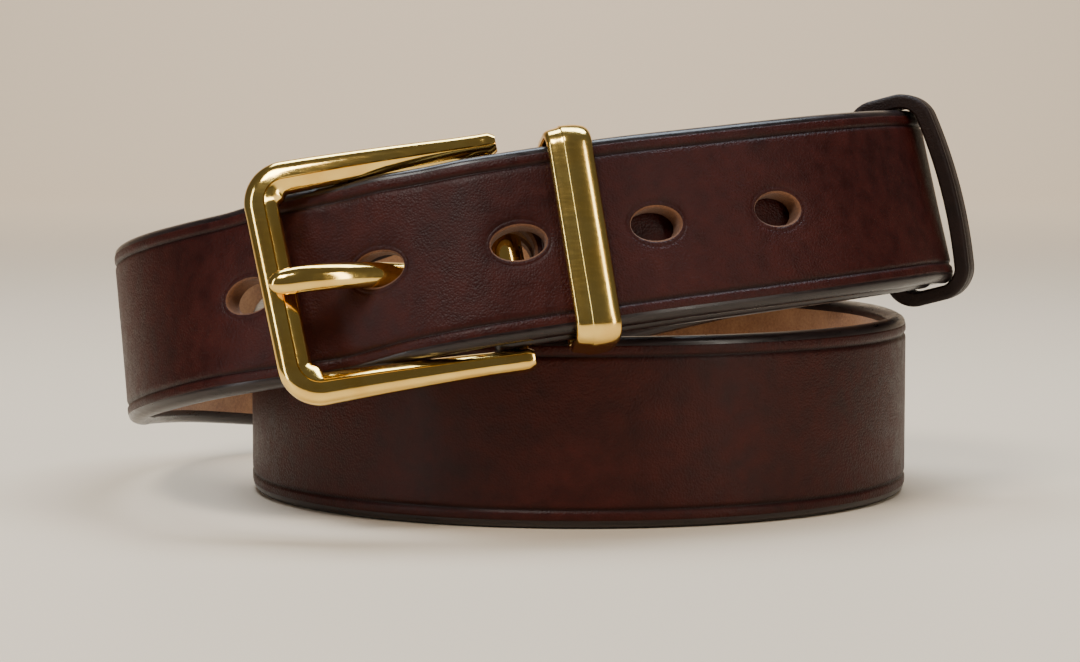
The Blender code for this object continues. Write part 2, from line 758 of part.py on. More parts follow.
def make_brass_loop(route, parts, finish):
    """Brass loop, its back held between the chape's two plies."""
    place, along, outward, across = route.frame(BRASS_LOOP_AT)
    ply = smooth_table(CHAPE_THICKNESSES, BRASS_LOOP_AT) / 2
    back = -ply - BRASS_LOOP_BACK_GAP
    front = billet_outer_offset(BRASS_LOOP_AT) + BRASS_LOOP_FRONT_GAP
    loop = ring("brass_loop", back, front, HALF_WIDTH + BRASS_LOOP_CLEARANCE,
                BRASS_LOOP_THICKNESS, BRASS_LOOP_WIDTH, BRASS_LOOP_CORNER, parts)
    loop.data.materials.append(finish)
    tilt = Matrix.Rotation(math.radians(-BRASS_LOOP_TILT), 4, "Z")
    loop.matrix_world = local_matrix(place, along, outward, across) @ tilt
    return loop


def make_keeper(route, parts, finish):
    """Leather keeper, free to travel along the two plies."""
    distance = route.distance_of_turn(KEEPER_TURN)
    place, along, outward, across = route.frame(distance)
    inner = STRAP_THICKNESS / 2
    keeper = ring("leather_keeper", -inner - KEEPER_INNER_GAP,
                  billet_outer_offset(distance) + KEEPER_OUTER_GAP,
                  HALF_WIDTH + KEEPER_CLEARANCE, KEEPER_THICKNESS, KEEPER_WIDTH,
                  KEEPER_CORNER, parts,
                  bulge=KEEPER_SLACK)
    keeper.data.materials.append(finish)
    keeper.matrix_world = local_matrix(place, along, outward, across)
    return keeper


def make_threads(route, parts, finish):
    """Needle and bobbin thread of the two rows that close the chape."""
    names = ("buckle_side", "loop_side")
    for name, row in zip(names, STITCH_ROWS_AT):
        place, along, outward, across = route.frame(row)
        seat = local_matrix(place, along, outward, across)
        top = smooth_table(CHAPE_THICKNESSES, row) / 2 - THREAD_RADIUS - 0.1
        bottom = smooth_table(TURN_BACK_OFFSETS, row) - SKIVED_THICKNESS / 2 - THREAD_RADIUS - 0.3
        middle = (top + bottom) / 2 - 0.5
        make_thread(f"{name}_needle_thread", top, middle + 0.7, seat, parts, finish)
        make_thread(f"{name}_bobbin_thread", bottom, middle - 0.7, seat, parts, finish)


def make_thread(name, face, meeting, seat, parts, finish):
    """Thread that runs along one face and dips into each awl hole."""
    path = []
    side = STITCH_HOLE_LENGTH / 2 - THREAD_RADIUS - 0.2
    for place in stitch_places():
        path += [(0.0, place - side, face), (0.0, place, meeting), (0.0, place + side, face)]
    thread = swept_tube(name, path, [THREAD_RADIUS] * len(path), parts, sides=6)
    thread.data.materials.append(finish)
    thread.matrix_world = seat


def make_staple(keeper, parts, cutters, finish):
    """Wire staple that closes the keeper behind the strap, in two holes."""
    back = min(vert.co.z for vert in keeper.data.vertices)
    half = STAPLE_WIDTH / 2
    crown = back - STAPLE_WIRE_RADIUS - 0.05
    path = [(0.0, -half, back + STAPLE_LEG), (0.0, -half, crown), (0.0, half, crown),
            (0.0, half, back + STAPLE_LEG)]
    staple = swept_tube("keeper_staple", path, [STAPLE_WIRE_RADIUS] * 4, parts, sides=6)
    staple.data.materials.append(finish)
    for side in (-half, half):
        hole = cylinder("staple_hole", STAPLE_HOLE_RADIUS, 2 * (STAPLE_LEG + 0.3),
                        (0.0, side, back), "Z", cutters, sides=10)
        matrix = keeper.matrix_world.copy()
        keeper.matrix_world = Matrix.Identity(4)
        apply_boolean(keeper, hole)
        keeper.matrix_world = matrix
    staple.matrix_world = keeper.matrix_world
    return staple


def middle_of(collection):
    """Middle of the sub-parts' bounding box, seen from above, in millimetres."""
    corners = [thing.matrix_world @ vert.co for thing in collection.objects
               for vert in thing.data.vertices]
    middle_x = (min(c.x for c in corners) + max(c.x for c in corners)) / 2
    middle_y = (min(c.y for c in corners) + max(c.y for c in corners)) / 2
    return Vector((middle_x, middle_y, 0.0))


def to_metres(collection):
    """Centre the belt on the origin and turn its millimetres into metres."""
    middle = middle_of(collection)
    scale = Matrix.Diagonal((MM, MM, MM, 1.0))
    for thing in collection.objects:
        local = thing.matrix_world.copy()
        thing.data.transform(scale)
        local.translation = (local.translation - middle) * MM
        thing.matrix_world = local


def main():
    """Build the belt."""
    clear_scene()
    parts = new_collection("leather_belt")
    cutters = new_collection("cutters")
    leather = material("bridle_leather", (0.035, 0.012, 0.010), 0.45)
    brass_frame = material("cast_brass", (0.80, 0.55, 0.20), 0.15, 1.0)
    brass_tongue = material("tongue_brass", (0.82, 0.58, 0.22), 0.15, 1.0)
    brass_band = material("loop_brass", (0.78, 0.54, 0.20), 0.15, 1.0)
    keeper_leather = material("keeper_leather", (0.015, 0.008, 0.008), 0.5)
    thread = material("waxed_thread", (0.05, 0.03, 0.02), 0.6)
    wire = material("staple_wire", (0.55, 0.55, 0.56), 0.3, 1.0)
    route = Route()
    line = StrapLine(route)
    seat = buckle_matrix(route)
    make_strap(line, parts, cutters, leather)
    make_frame(seat, parts, cutters, brass_frame)
    make_tongue(seat, parts, cutters, brass_tongue)
    make_brass_loop(route, parts, brass_band)
    keeper = make_keeper(route, parts, keeper_leather)
    make_threads(route, parts, thread)
    make_staple(keeper, parts, cutters, wire)
    to_metres(parts)
    for cutter in list(cutters.objects):
        cutter.hide_render = True


main()
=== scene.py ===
"""Leather dress belt, fastened and rolled into a double coil.

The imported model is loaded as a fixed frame, and every visible piece is built round it: the
strap with its creases, burnished edges and punched holes, the cast brass buckle and its
tongue, the brass loop, the leather keeper with its staple, and the sewing threads.  Lengths
are in millimetres until a mesh is finished, when they become metres in the frame's axes.
"""
from __future__ import annotations

import json
import logging
import math
from dataclasses import dataclass, field
from enum import Enum
from typing import Callable, Sequence

import bmesh
import bpy
import numpy as np
from mathutils import Matrix, Vector


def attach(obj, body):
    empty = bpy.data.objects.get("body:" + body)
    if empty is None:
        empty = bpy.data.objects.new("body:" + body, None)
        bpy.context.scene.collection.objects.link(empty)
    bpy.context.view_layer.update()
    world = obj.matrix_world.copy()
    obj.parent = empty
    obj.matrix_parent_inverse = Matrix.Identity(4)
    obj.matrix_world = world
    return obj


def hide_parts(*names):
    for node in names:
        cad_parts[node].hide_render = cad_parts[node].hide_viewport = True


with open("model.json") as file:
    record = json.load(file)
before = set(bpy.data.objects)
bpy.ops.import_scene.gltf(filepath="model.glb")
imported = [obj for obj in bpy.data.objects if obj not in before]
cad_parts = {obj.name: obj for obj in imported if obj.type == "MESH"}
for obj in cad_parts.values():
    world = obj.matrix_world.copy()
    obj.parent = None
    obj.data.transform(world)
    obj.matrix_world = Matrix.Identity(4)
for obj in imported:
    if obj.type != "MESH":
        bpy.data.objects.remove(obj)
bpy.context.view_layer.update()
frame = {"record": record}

LOG = logging.getLogger("belt")
MM = 0.001
MERGE_DISTANCE = 0.00001
SHARP_ANGLE = 40.0
STITCH_ROWS = (("buckle_side", 7.0), ("loop_side", 21.0))

Stations = Sequence[tuple[float, float]]
Colour = tuple[float, float, float]
Triple = tuple[float, float, float]


class Side(Enum):
    """Surface of the strap, by the number of its material slot."""

    GRAIN = 0
    EDGE = 1
    FLESH = 2
    RAW = 3


# ---- curves and tables -------------------------------------------------------------------
def smooth_table(stations: Stations, at: float) -> float:
    """Read a short list of (place, value) with a smooth curve through it.

    Args:
        stations: Places in rising order, each with its value.
        at: Place to read.

    Returns:
        The value there, which never overshoots the list's own values.
    """
    places = [place for place, _ in stations]
    values = [value for _, value in stations]
    if at <= places[0]:
        return values[0]
    if at >= places[-1]:
        return values[-1]
    index = max(i for i, place in enumerate(places) if place <= at)
    span = places[index + 1] - places[index]
    part = (at - places[index]) / span

    def slope(i: int) -> float:
        """Slope of the curve at one of its places."""
        if i in (0, len(places) - 1):
            return 0.0
        if (values[i + 1] - values[i]) * (values[i] - values[i - 1]) <= 0:
            return 0.0
        return (values[i + 1] - values[i - 1]) / (places[i + 1] - places[i - 1])

    start = slope(index) * span
    end = slope(index + 1) * span
    return (
        values[index] * (2 * part**3 - 3 * part**2 + 1)
        + start * (part**3 - 2 * part**2 + part)
        + values[index + 1] * (3 * part**2 - 2 * part**3)
        + end * (part**3 - part**2)
    )


def signed_power(value: float, power: float) -> float:
    """Raise a value's size to a power and keep its sign."""
    return math.copysign(abs(value) ** power, value)


def smooth_line(points: Sequence[Vector], cuts: int) -> list[Vector]:
    """Round off a line of points with a curve that passes through all of them.

    Args:
        points: The line's own points.
        cuts: Steps from each point to the next.

    Returns:
        The finer line, first and last points included.
    """
    line = []
    last = len(points) - 1
    for i in range(last):
        before, start, end, after = (points[max(i - 1, 0)], points[i], points[i + 1],
                                     points[min(i + 2, last)])
        for step in range(cuts):
            t = step / cuts
            line.append(0.5 * ((2 * start) + (end - before) * t
                               + (2 * before - 5 * start + 4 * end - after) * t * t
                               + (3 * start - before - 3 * end + after) * t**3))
    line.append(points[-1].copy())
    return line


def seat_matrix(place: Vector, along: Vector, outward: Vector, across: Vector) -> Matrix:
    """Matrix whose X runs along the strap, Y across it and Z outward."""
    return Matrix((
        (along.x, across.x, outward.x, place.x),
        (along.y, across.y, outward.y, place.y),
        (along.z, across.z, outward.z, place.z),
        (0.0, 0.0, 0.0, 1.0),
    ))


# ---- the route of the strap --------------------------------------------------------------
@dataclass(frozen=True)
class RoutePlan:
    """Driving sizes of the double coil and of the leather that follows it."""

    strap_width: float = 35.0
    thickness: float = 4.0
    skived: float = 2.4
    turn_back_end: float = 1.8
    tip_thickness: float = 3.0
    upper_left: float = -81.5
    upper_apex: float = -25.0
    upper_right: float = 73.2
    upper_front: float = 66.0
    lower_left: float = -56.0
    lower_right: float = 71.5
    lower_front: float = 63.0
    inner_back: float = 54.0
    outer_back: float = 67.0
    soft_power: float = 0.9
    square_power: float = 0.8
    heights: Stations = (
        (-0.62, 17.5), (-0.45, 21.0), (-0.33, 26.0), (-0.25, 29.5), (0.0, 46.8), (0.1, 54.8),
        (0.2, 57.6), (0.3, 55.5), (0.4, 49.5), (0.5, 40.0), (0.65, 25.5), (0.8, 17.5),
        (1.38, 17.5),
    )
    leans: Stations = ((-0.45, 0.0), (-0.25, -6.0), (-0.08, 18.0), (0.05, 20.0), (0.18, 20.0),
                       (0.25, 11.0), (0.42, 0.0))
    billet_offsets: Stations = (
        (-66.0, 0.0), (-41.0, -1.4), (-30.0, -2.6), (-18.0, 0.1), (-6.0, 3.0), (0.0, 3.5),
        (14.0, 3.9), (28.0, 4.3), (170.0, 4.3),
    )
    turn_back_offsets: Stations = ((0.0, -6.4), (16.0, -6.4), (24.0, -5.4), (31.0, -3.8))
    chape_thicknesses: Stations = ((0.0, 2.4), (9.0, 2.8), (20.0, 3.0), (32.0, 4.0))
    window_turns: Stations = ((-56.0, 0.0), (-42.0, 5.0), (-32.0, 10.0), (-22.0, 5.0),
                              (-10.0, 0.0))
    window_rises: Stations = ((-56.0, 0.0), (-42.0, 0.2), (-32.0, 0.35), (-22.0, 0.15),
                              (-10.0, 0.0))
    buckle_lifts: Stations = ((-70.0, 0.0), (-12.0, 3.0), (4.0, 3.0), (45.0, 0.0))
    bar_x: float = -6.7
    bar_radius: float = 1.8
    bar_clearance: float = 0.2
    turn_back_length: float = 31.0
    turn_back_share: float = 0.78
    tip_at: float = 154.0
    tip_taper: float = 26.0
    tip_narrowing: float = 0.82
    tip_curve: float = 1.7
    trim_length: float = 2.5

    @property
    def fold_radius(self) -> float:
        """Radius of the leather's middle where it goes round the heel bar."""
        return self.bar_radius + self.bar_clearance + self.skived / 2


@dataclass
class Route:
    """Middle line of the double coil, measured from the heel bar."""

    plan: RoutePlan
    samples: int = 6000
    turns: list[float] = field(default_factory=list)
    lengths: list[float] = field(default_factory=lambda: [0.0])
    shift: Vector = field(default_factory=lambda: Vector((0.0, 0.0, 0.0)))

    def __post_init__(self) -> None:
        """Measure the line once, and move it to the frame's own origin."""
        plan = self.plan
        share = (plan.bar_x - plan.upper_apex) / (plan.upper_right - plan.upper_apex)
        start = math.asin(share) / (2 * math.pi)
        self.turns = [start + 2.0 * i / self.samples for i in range(self.samples + 1)]
        points = [self.point(turn) for turn in self.turns]
        for first, second in zip(points, points[1:]):
            self.lengths.append(self.lengths[-1] + (second - first).length)
        joints = frame["record"]["behaviour"]["joints"]
        swing = next(joint for joint in joints if joint["name"] == "frame_swing")
        self.shift = Vector(swing["pos_m"]) / MM - self.heel_bar()[0]

    @property
    def total(self) -> float:
        """Length of the fastened belt, once round both coils."""
        return self.lengths[-1]

    def point(self, turn: float) -> Vector:
        """Place on the middle line.

        Args:
            turn: Number of turns; each quarter is a quarter of an ellipse seen from above.

        Returns:
            The place in millimetres.
        """
        plan = self.plan
        turn = (turn + 0.25) % 2.0 - 0.25
        power = 1.0
        if turn < 0.0:
            low, high = plan.upper_left, 2 * plan.upper_apex - plan.upper_left
            depth, power = plan.upper_front, plan.soft_power
        elif turn < 0.25:
            low, high = 2 * plan.upper_apex - plan.upper_right, plan.upper_right
            depth = plan.upper_front
        elif turn < 0.75:
            low, high, depth = plan.lower_left, plan.upper_right, plan.inner_back
        elif turn < 1.25:
            low, high, depth = plan.lower_left, plan.lower_right, plan.lower_front
        else:
            low, high = plan.upper_left, plan.lower_right
            depth, power = plan.outer_back, plan.square_power
        angle = 2 * math.pi * turn
        x = (low + high) / 2 + (high - low) / 2 * signed_power(math.sin(angle), power)
        y = -depth * signed_power(math.cos(angle), power)
        wrapped = turn - 2.0 if turn > plan.heights[-1][0] else turn
        return Vector((x, y, smooth_table(plan.heights, wrapped))) + self.shift

    def turn_at(self, distance: float) -> float:
        """Turn number at a distance along the route."""
        laps = math.floor(distance / self.total)
        rest = distance - laps * self.total
        low = int(np.searchsorted(self.lengths, rest, side="right")) - 1
        low = min(low, self.samples - 1)
        part = (rest - self.lengths[low]) / (self.lengths[low + 1] - self.lengths[low])
        return self.turns[low] + part * (self.turns[low + 1] - self.turns[low]) + 2.0 * laps

    def distance_of_turn(self, turn: float) -> float:
        """Distance along the route from the heel bar to a turn number."""
        return self.lengths[round((turn - self.turns[0]) / 2.0 * self.samples)]

    def frame(self, distance: float) -> tuple[Vector, Vector, Vector, Vector]:
        """Seat of the strap at a distance along the route.

        Args:
            distance: Distance from the heel bar.

        Returns:
            Place, direction of travel, outward direction and across direction.
        """
        reach = 1.5
        place = self.point(self.turn_at(distance))
        along = (self.point(self.turn_at(distance + reach))
                 - self.point(self.turn_at(distance - reach))).normalized()
        upright = Vector((0, 0, 1))
        across = (upright - upright.dot(along) * along).normalized()
        outward = along.cross(across)
        turn = (self.turn_at(distance) + 0.5) % 2.0 - 0.5
        lean = math.radians(smooth_table(self.plan.leans, turn))
        leant_across = math.cos(lean) * across - math.sin(lean) * outward
        leant_outward = math.cos(lean) * outward + math.sin(lean) * across
        near = distance - self.total if distance > self.total / 2 else distance
        lifted = place + smooth_table(self.plan.buckle_lifts, near) * leant_outward
        return lifted, along, leant_outward, leant_across

    def heel_bar(self) -> tuple[Vector, Vector, Vector, Vector]:
        """Axis of the heel bar, under the strap's first ply, with its directions."""
        place, along, outward, across = self.frame(0.0)
        return place - self.plan.fold_radius * outward, along, outward, across


@dataclass
class StrapLine:
    """Middle line of the whole strap, from its turned-back end to its tip."""

    route: Route
    points: list[Vector] = field(default_factory=list)
    acrosses: list[Vector] = field(default_factory=list)
    lengths: list[float] = field(default_factory=lambda: [0.0])
    fold_end: int = 0

    def __post_init__(self) -> None:
        """Lay the line down and measure it."""
        self.add_turn_back()
        self.add_fold()
        self.fold_end = len(self.points) - 1
        self.add_run()
        for first, second in zip(self.points, self.points[1:]):
            self.lengths.append(self.lengths[-1] + (second - first).length)

    @property
    def length(self) -> float:
        """Length of the cut strap."""
        return self.lengths[-1]

    @property
    def bar_length(self) -> float:
        """Length of strap that is turned back, up to the end of the fold."""
        return self.lengths[self.fold_end]

    @property
    def buckle_length(self) -> float:
        """Length of strap where the holed end passes over the heel bar."""
        return self.lengths[self.fold_end + round(self.route.total)]

    def add(self, place: Vector, across: Vector) -> None:
        """Add one point with its across direction."""
        self.points.append(place)
        self.acrosses.append(across)

    def add_turn_back(self) -> None:
        """Lay the skived end inside the coil, behind the first ply."""
        plan = self.route.plan
        distance = plan.turn_back_length
        while distance > 0.4:
            place, _, outward, across = self.route.frame(distance)
            offset = smooth_table(plan.turn_back_offsets, distance)
            self.add(place + offset * outward, across)
            distance -= 1.0

    def add_fold(self) -> None:
        """Lay half a turn of leather round the heel bar."""
        axis, along, outward, across = self.route.heel_bar()
        steps = 16
        for step in range(steps + 1):
            angle = -math.pi / 2 - math.pi * step / steps
            reach = math.cos(angle) * along + math.sin(angle) * outward
            self.add(axis + self.route.plan.fold_radius * reach, across)

    def add_run(self) -> None:
        """Lay the strap twice round the coil and out over the buckle to the tip."""
        plan = self.route.plan
        distance = 1.0
        while distance < self.route.total + plan.tip_at:
            place, _, outward, across = self.route.frame(distance)
            past_bar = distance - self.route.total
            place += smooth_table(plan.billet_offsets, past_bar) * outward
            place += smooth_table(plan.window_rises, past_bar) * across
            turned = math.radians(smooth_table(plan.window_turns, past_bar))
            self.add(place, math.cos(turned) * across + math.sin(turned) * outward)
            distance += 1.0

    def direction(self, index: int) -> Vector:
        """Direction of travel at one of the line's points."""
        first = self.points[max(index - 1, 0)]
        last = self.points[min(index + 1, len(self.points) - 1)]
        return (last - first).normalized()

    def frame(self, length: float) -> tuple[Vector, Vector, Vector]:
        """Seat of the leather at a length of strap.

        Args:
            length: Length from the turned-back end.

        Returns:
            Place, outward direction and across direction.
        """
        length = min(max(length, 0.0), self.length)
        low = int(np.searchsorted(self.lengths, length, side="right")) - 1
        low = min(low, len(self.lengths) - 2)
        part = (length - self.lengths[low]) / (self.lengths[low + 1] - self.lengths[low])
        place = self.points[low].lerp(self.points[low + 1], part)
        along = self.direction(low).lerp(self.direction(low + 1), part).normalized()
        across = self.acrosses[low].lerp(self.acrosses[low + 1], part)
        across = (across - across.dot(along) * along).normalized()
        return place, along.cross(across), across

    def thickness(self, length: float) -> float:
        """Thickness of the leather at a length of strap."""
        plan = self.route.plan
        if length < self.bar_length:
            part = length / self.bar_length
            return plan.turn_back_end + part * (plan.skived - plan.turn_back_end)
        to_tip = self.length - length
        if to_tip < plan.tip_taper:
            share = to_tip / plan.tip_taper
            return plan.tip_thickness + (plan.thickness - plan.tip_thickness) * share
        return smooth_table(plan.chape_thicknesses, length - self.bar_length)

    def width_share(self, length: float) -> float:
        """Share of the full width at a length: trimmed turn-back and pointed tip."""
        plan = self.route.plan
        fold_start = self.bar_length - math.pi * plan.fold_radius
        if length < fold_start:
            part = min((fold_start - length) / plan.trim_length, 1.0)
            return 1.0 + part * (plan.turn_back_share - 1.0)
        to_tip = self.length - length
        if to_tip >= plan.tip_taper:
            return 1.0
        return 1.0 - plan.tip_narrowing * (1.0 - to_tip / plan.tip_taper) ** plan.tip_curve


# ---- mesh tools --------------------------------------------------------------------------
def deselect_all() -> None:
    """Leave object mode with nothing selected."""
    if bpy.context.mode != "OBJECT":
        bpy.ops.object.mode_set(mode="OBJECT")
    bpy.ops.object.select_all(action="DESELECT")


def take(piece: bpy.types.Object) -> None:
    """Select one piece alone and make it active."""
    deselect_all()
    piece.select_set(True)
    bpy.context.view_layer.objects.active = piece


def edit(piece: bpy.types.Object, mode: str = "VERT") -> None:
    """Open one piece in edit mode with nothing selected."""
    take(piece)
    bpy.ops.object.mode_set(mode="EDIT")
    bpy.ops.mesh.select_mode(type=mode)
    bpy.ops.mesh.select_all(action="DESELECT")


def grid(name: str, rows: int, columns: int) -> tuple[bpy.types.Object, np.ndarray, np.ndarray]:
    """Add a flat grid to be laid over a shape.

    Args:
        name: Name of the piece.
        rows: Cells along the length.
        columns: Cells round the section.

    Returns:
        The piece, and each vertex's row and column number.
    """
    deselect_all()
    bpy.ops.mesh.primitive_grid_add(x_subdivisions=rows, y_subdivisions=columns, size=2.0)
    piece = bpy.context.active_object
    piece.name = name
    piece.data.name = name
    flat = np.empty(len(piece.data.vertices) * 3)
    piece.data.vertices.foreach_get("co", flat)
    flat = flat.reshape(-1, 3)
    row = np.rint((flat[:, 0] + 1.0) / 2.0 * rows).astype(int)
    column = np.rint((flat[:, 1] + 1.0) / 2.0 * columns).astype(int)
    return piece, row, column


def close_up(piece: bpy.types.Object) -> None:
    """Join the seams, fill the open ends and turn every face outward."""
    edit(piece)
    bpy.ops.mesh.select_all(action="SELECT")
    bpy.ops.mesh.remove_doubles(threshold=MERGE_DISTANCE)
    bpy.ops.mesh.select_all(action="SELECT")
    bpy.ops.mesh.fill_holes(sides=0)
    bpy.ops.mesh.select_all(action="SELECT")
    bpy.ops.mesh.normals_make_consistent(inside=False)
    bpy.ops.object.mode_set(mode="OBJECT")


def loft(name: str, sections: Sequence[Sequence[Vector]], ring: bool = False) -> bpy.types.Object:
    """Lay a grid over a row of closed sections, as one closed piece.

    Args:
        name: Name of the piece.
        sections: Places of each section in millimetres, all with the same count.
        ring: True where the last section is joined to the first.

    Returns:
        The piece, in metres.
    """
    count = len(sections[0])
    rows = len(sections) if ring else len(sections) - 1
    piece, row, column = grid(name, rows, count)
    places = np.array([[tuple(point) for point in section] for section in sections])
    shaped = places[row % len(sections), column % count] * MM
    piece.data.vertices.foreach_set("co", shaped.astype(np.float32).ravel())
    piece.data.update()
    close_up(piece)
    return piece


def sweep(name: str, seats: Sequence[Matrix],
          outline: Callable[[int], list[tuple[float, float]]]) -> bpy.types.Object:
    """Carry a section along a row of seats.

    Args:
        name: Name of the piece.
        seats: Matrix of each section, whose Y and Z axes hold the section.
        outline: Gives the section's (y, z) points for a seat's number.

    Returns:
        The closed piece, in metres.
    """
    sections = []
    for number, seat in enumerate(seats):
        sections.append([seat @ Vector((0.0, y, z)) for y, z in outline(number)])
    return loft(name, sections)


def seats_on(points: Sequence[Vector], side: Vector) -> list[Matrix]:
    """Seats along a line, with their Y axis held near a given direction.

    Args:
        points: The line's places.
        side: The wanted Y direction.

    Returns:
        One matrix for each place, its X axis along the line.
    """
    seats = []
    for i, place in enumerate(points):
        along = (points[min(i + 1, len(points) - 1)] - points[max(i - 1, 0)]).normalized()
        across = (side - side.dot(along) * along).normalized()
        seats.append(seat_matrix(place, along, along.cross(across), across))
    return seats


def circle_points(radius: float, count: int, flat: float = 1.0) -> list[tuple[float, float]]:
    """Round or flattened section of a rod."""
    angles = [2 * math.pi * i / count for i in range(count)]
    return [(radius * math.cos(angle), radius * flat * math.sin(angle)) for angle in angles]


def cut(piece: bpy.types.Object, tool: bpy.types.Object, operation: str) -> None:
    """Join one piece with another or cut it by it, then remove the tool.

    Args:
        piece: Piece that is kept.
        tool: Piece that is used up.
        operation: UNION or DIFFERENCE.
    """
    take(piece)
    modifier = piece.modifiers.new(operation.lower(), "BOOLEAN")
    modifier.operation = operation
    modifier.solver = "EXACT"
    modifier.object = tool
    bpy.ops.object.modifier_apply(modifier=modifier.name)
    bpy.data.objects.remove(tool, do_unlink=True)


def rod(name: str, radius: float, length: float, seat: Matrix, sides: int = 40) -> bpy.types.Object:
    """Round rod centred on a seat, along the seat's Y axis.

    Args:
        name: Name of the piece.
        radius: Radius in millimetres.
        length: Length in millimetres.
        seat: Its place and directions.
        sides: Number of sides.

    Returns:
        The rod, in metres.
    """
    deselect_all()
    bpy.ops.mesh.primitive_cylinder_add(vertices=sides, radius=radius, depth=length)
    made = bpy.context.active_object
    made.name = name
    to_metres = Matrix.Diagonal((MM, MM, MM, 1.0))
    made.data.transform(to_metres @ seat @ Matrix.Rotation(math.pi / 2, 4, "X"))
    return made


def soften(piece: bpy.types.Object, width: float, segments: int = 3) -> None:
    """Round the sharp edges of a piece by a width in millimetres."""
    take(piece)
    modifier = piece.modifiers.new("soften", "BEVEL")
    modifier.width = width * MM
    modifier.segments = segments
    modifier.limit_method = "ANGLE"
    modifier.angle_limit = math.radians(SHARP_ANGLE)
    bpy.ops.object.modifier_apply(modifier=modifier.name)


def smooth(piece: bpy.types.Object, angle: float) -> None:
    """Shade a piece smooth where its faces meet at less than an angle."""
    take(piece)
    bpy.ops.object.shade_smooth_by_angle(angle=math.radians(angle))


# ---- finishes ----------------------------------------------------------------------------
class Nodes:
    """Small helper that lays out a material's nodes."""

    def __init__(self, name: str) -> None:
        """Start a material with its Principled shader."""
        self.material = bpy.data.materials.new(name)
        self.material.use_nodes = True
        self.tree = self.material.node_tree
        self.shader = self.tree.nodes["Principled BSDF"]
        self.place = self.tree.nodes.new("ShaderNodeTexCoord").outputs["Object"]

    def add(self, kind: str, **values: object) -> bpy.types.Node:
        """Add a node and set its properties or its input values by name."""
        node = self.tree.nodes.new(kind)
        for key, value in values.items():
            if hasattr(node, key):
                setattr(node, key, value)
            else:
                node.inputs[key.replace("_", " ").title()].default_value = value
        return node

    def link(self, source: bpy.types.NodeSocket, target: bpy.types.NodeSocket) -> None:
        """Join two sockets."""
        self.tree.links.new(source, target)

    def stretched(self, scale: Triple) -> bpy.types.NodeSocket:
        """Object coordinates, stretched by a scale."""
        mapping = self.add("ShaderNodeMapping")
        mapping.inputs["Scale"].default_value = scale
        self.link(self.place, mapping.inputs["Vector"])
        return mapping.outputs["Vector"]

    def noise(self, size: float, detail: float = 3.0, place: bpy.types.NodeSocket | None = None,
              roughness: float = 0.5) -> bpy.types.NodeSocket:
        """Soft noise whose blotches are about a size in millimetres."""
        node = self.add("ShaderNodeTexNoise", scale=1.0 / (size * MM), detail=detail,
                        roughness=roughness)
        self.link(place or self.place, node.inputs["Vector"])
        return node.outputs["Fac"]

    def pebbles(self, size: float, smoothness: float = 0.35) -> bpy.types.NodeSocket:
        """Rounded cells about a size in millimetres across."""
        node = self.add("ShaderNodeTexVoronoi", feature="SMOOTH_F1", scale=1.0 / (size * MM),
                        smoothness=smoothness)
        self.link(self.place, node.inputs["Vector"])
        return node.outputs["Distance"]

    def attribute(self, name: str) -> bpy.types.NodeSocket:
        """Value stored on the mesh."""
        return self.add("ShaderNodeAttribute", attribute_name=name).outputs["Fac"]

    def span(self, source: bpy.types.NodeSocket, low: float, high: float, to_low: float,
             to_high: float) -> bpy.types.NodeSocket:
        """Stretch a value's range onto another."""
        node = self.add("ShaderNodeMapRange")
        for key, value in (("From Min", low), ("From Max", high), ("To Min", to_low),
                           ("To Max", to_high)):
            node.inputs[key].default_value = value
        self.link(source, node.inputs["Value"])
        return node.outputs["Result"]

    def math(self, operation: str, first: bpy.types.NodeSocket,
             second: bpy.types.NodeSocket | float) -> bpy.types.NodeSocket:
        """Sum, product or the like of two values."""
        node = self.add("ShaderNodeMath", operation=operation)
        self.link(first, node.inputs[0])
        if isinstance(second, (int, float)):
            node.inputs[1].default_value = second
        else:
            self.link(second, node.inputs[1])
        return node.outputs[0]

    def mix(self, share: bpy.types.NodeSocket, first: Colour | bpy.types.NodeSocket,
            second: Colour | bpy.types.NodeSocket) -> bpy.types.NodeSocket:
        """Blend two colours by a share."""
        node = self.add("ShaderNodeMix", data_type="RGBA")
        self.link(share, node.inputs[0])
        for socket, value in ((node.inputs[6], first), (node.inputs[7], second)):
            if isinstance(value, tuple):
                socket.default_value = (*value, 1.0)
            else:
                self.link(value, socket)
        return node.outputs[2]

    def bump(self, height: bpy.types.NodeSocket, depth: float,
             strength: float) -> bpy.types.NodeSocket:
        """Relief of a depth in millimetres."""
        node = self.add("ShaderNodeBump", strength=strength, distance=depth * MM)
        self.link(height, node.inputs["Height"])
        return node.outputs["Normal"]

    def set(self, **values: object) -> None:
        """Set or link the shader's sockets by name."""
        for key, value in values.items():
            socket = self.shader.inputs[key.replace("_", " ").title().replace("Ior", "IOR")]
            if isinstance(value, bpy.types.NodeSocket):
                self.link(value, socket)
            elif isinstance(value, tuple):
                socket.default_value = (*value, 1.0)
            else:
                socket.default_value = value


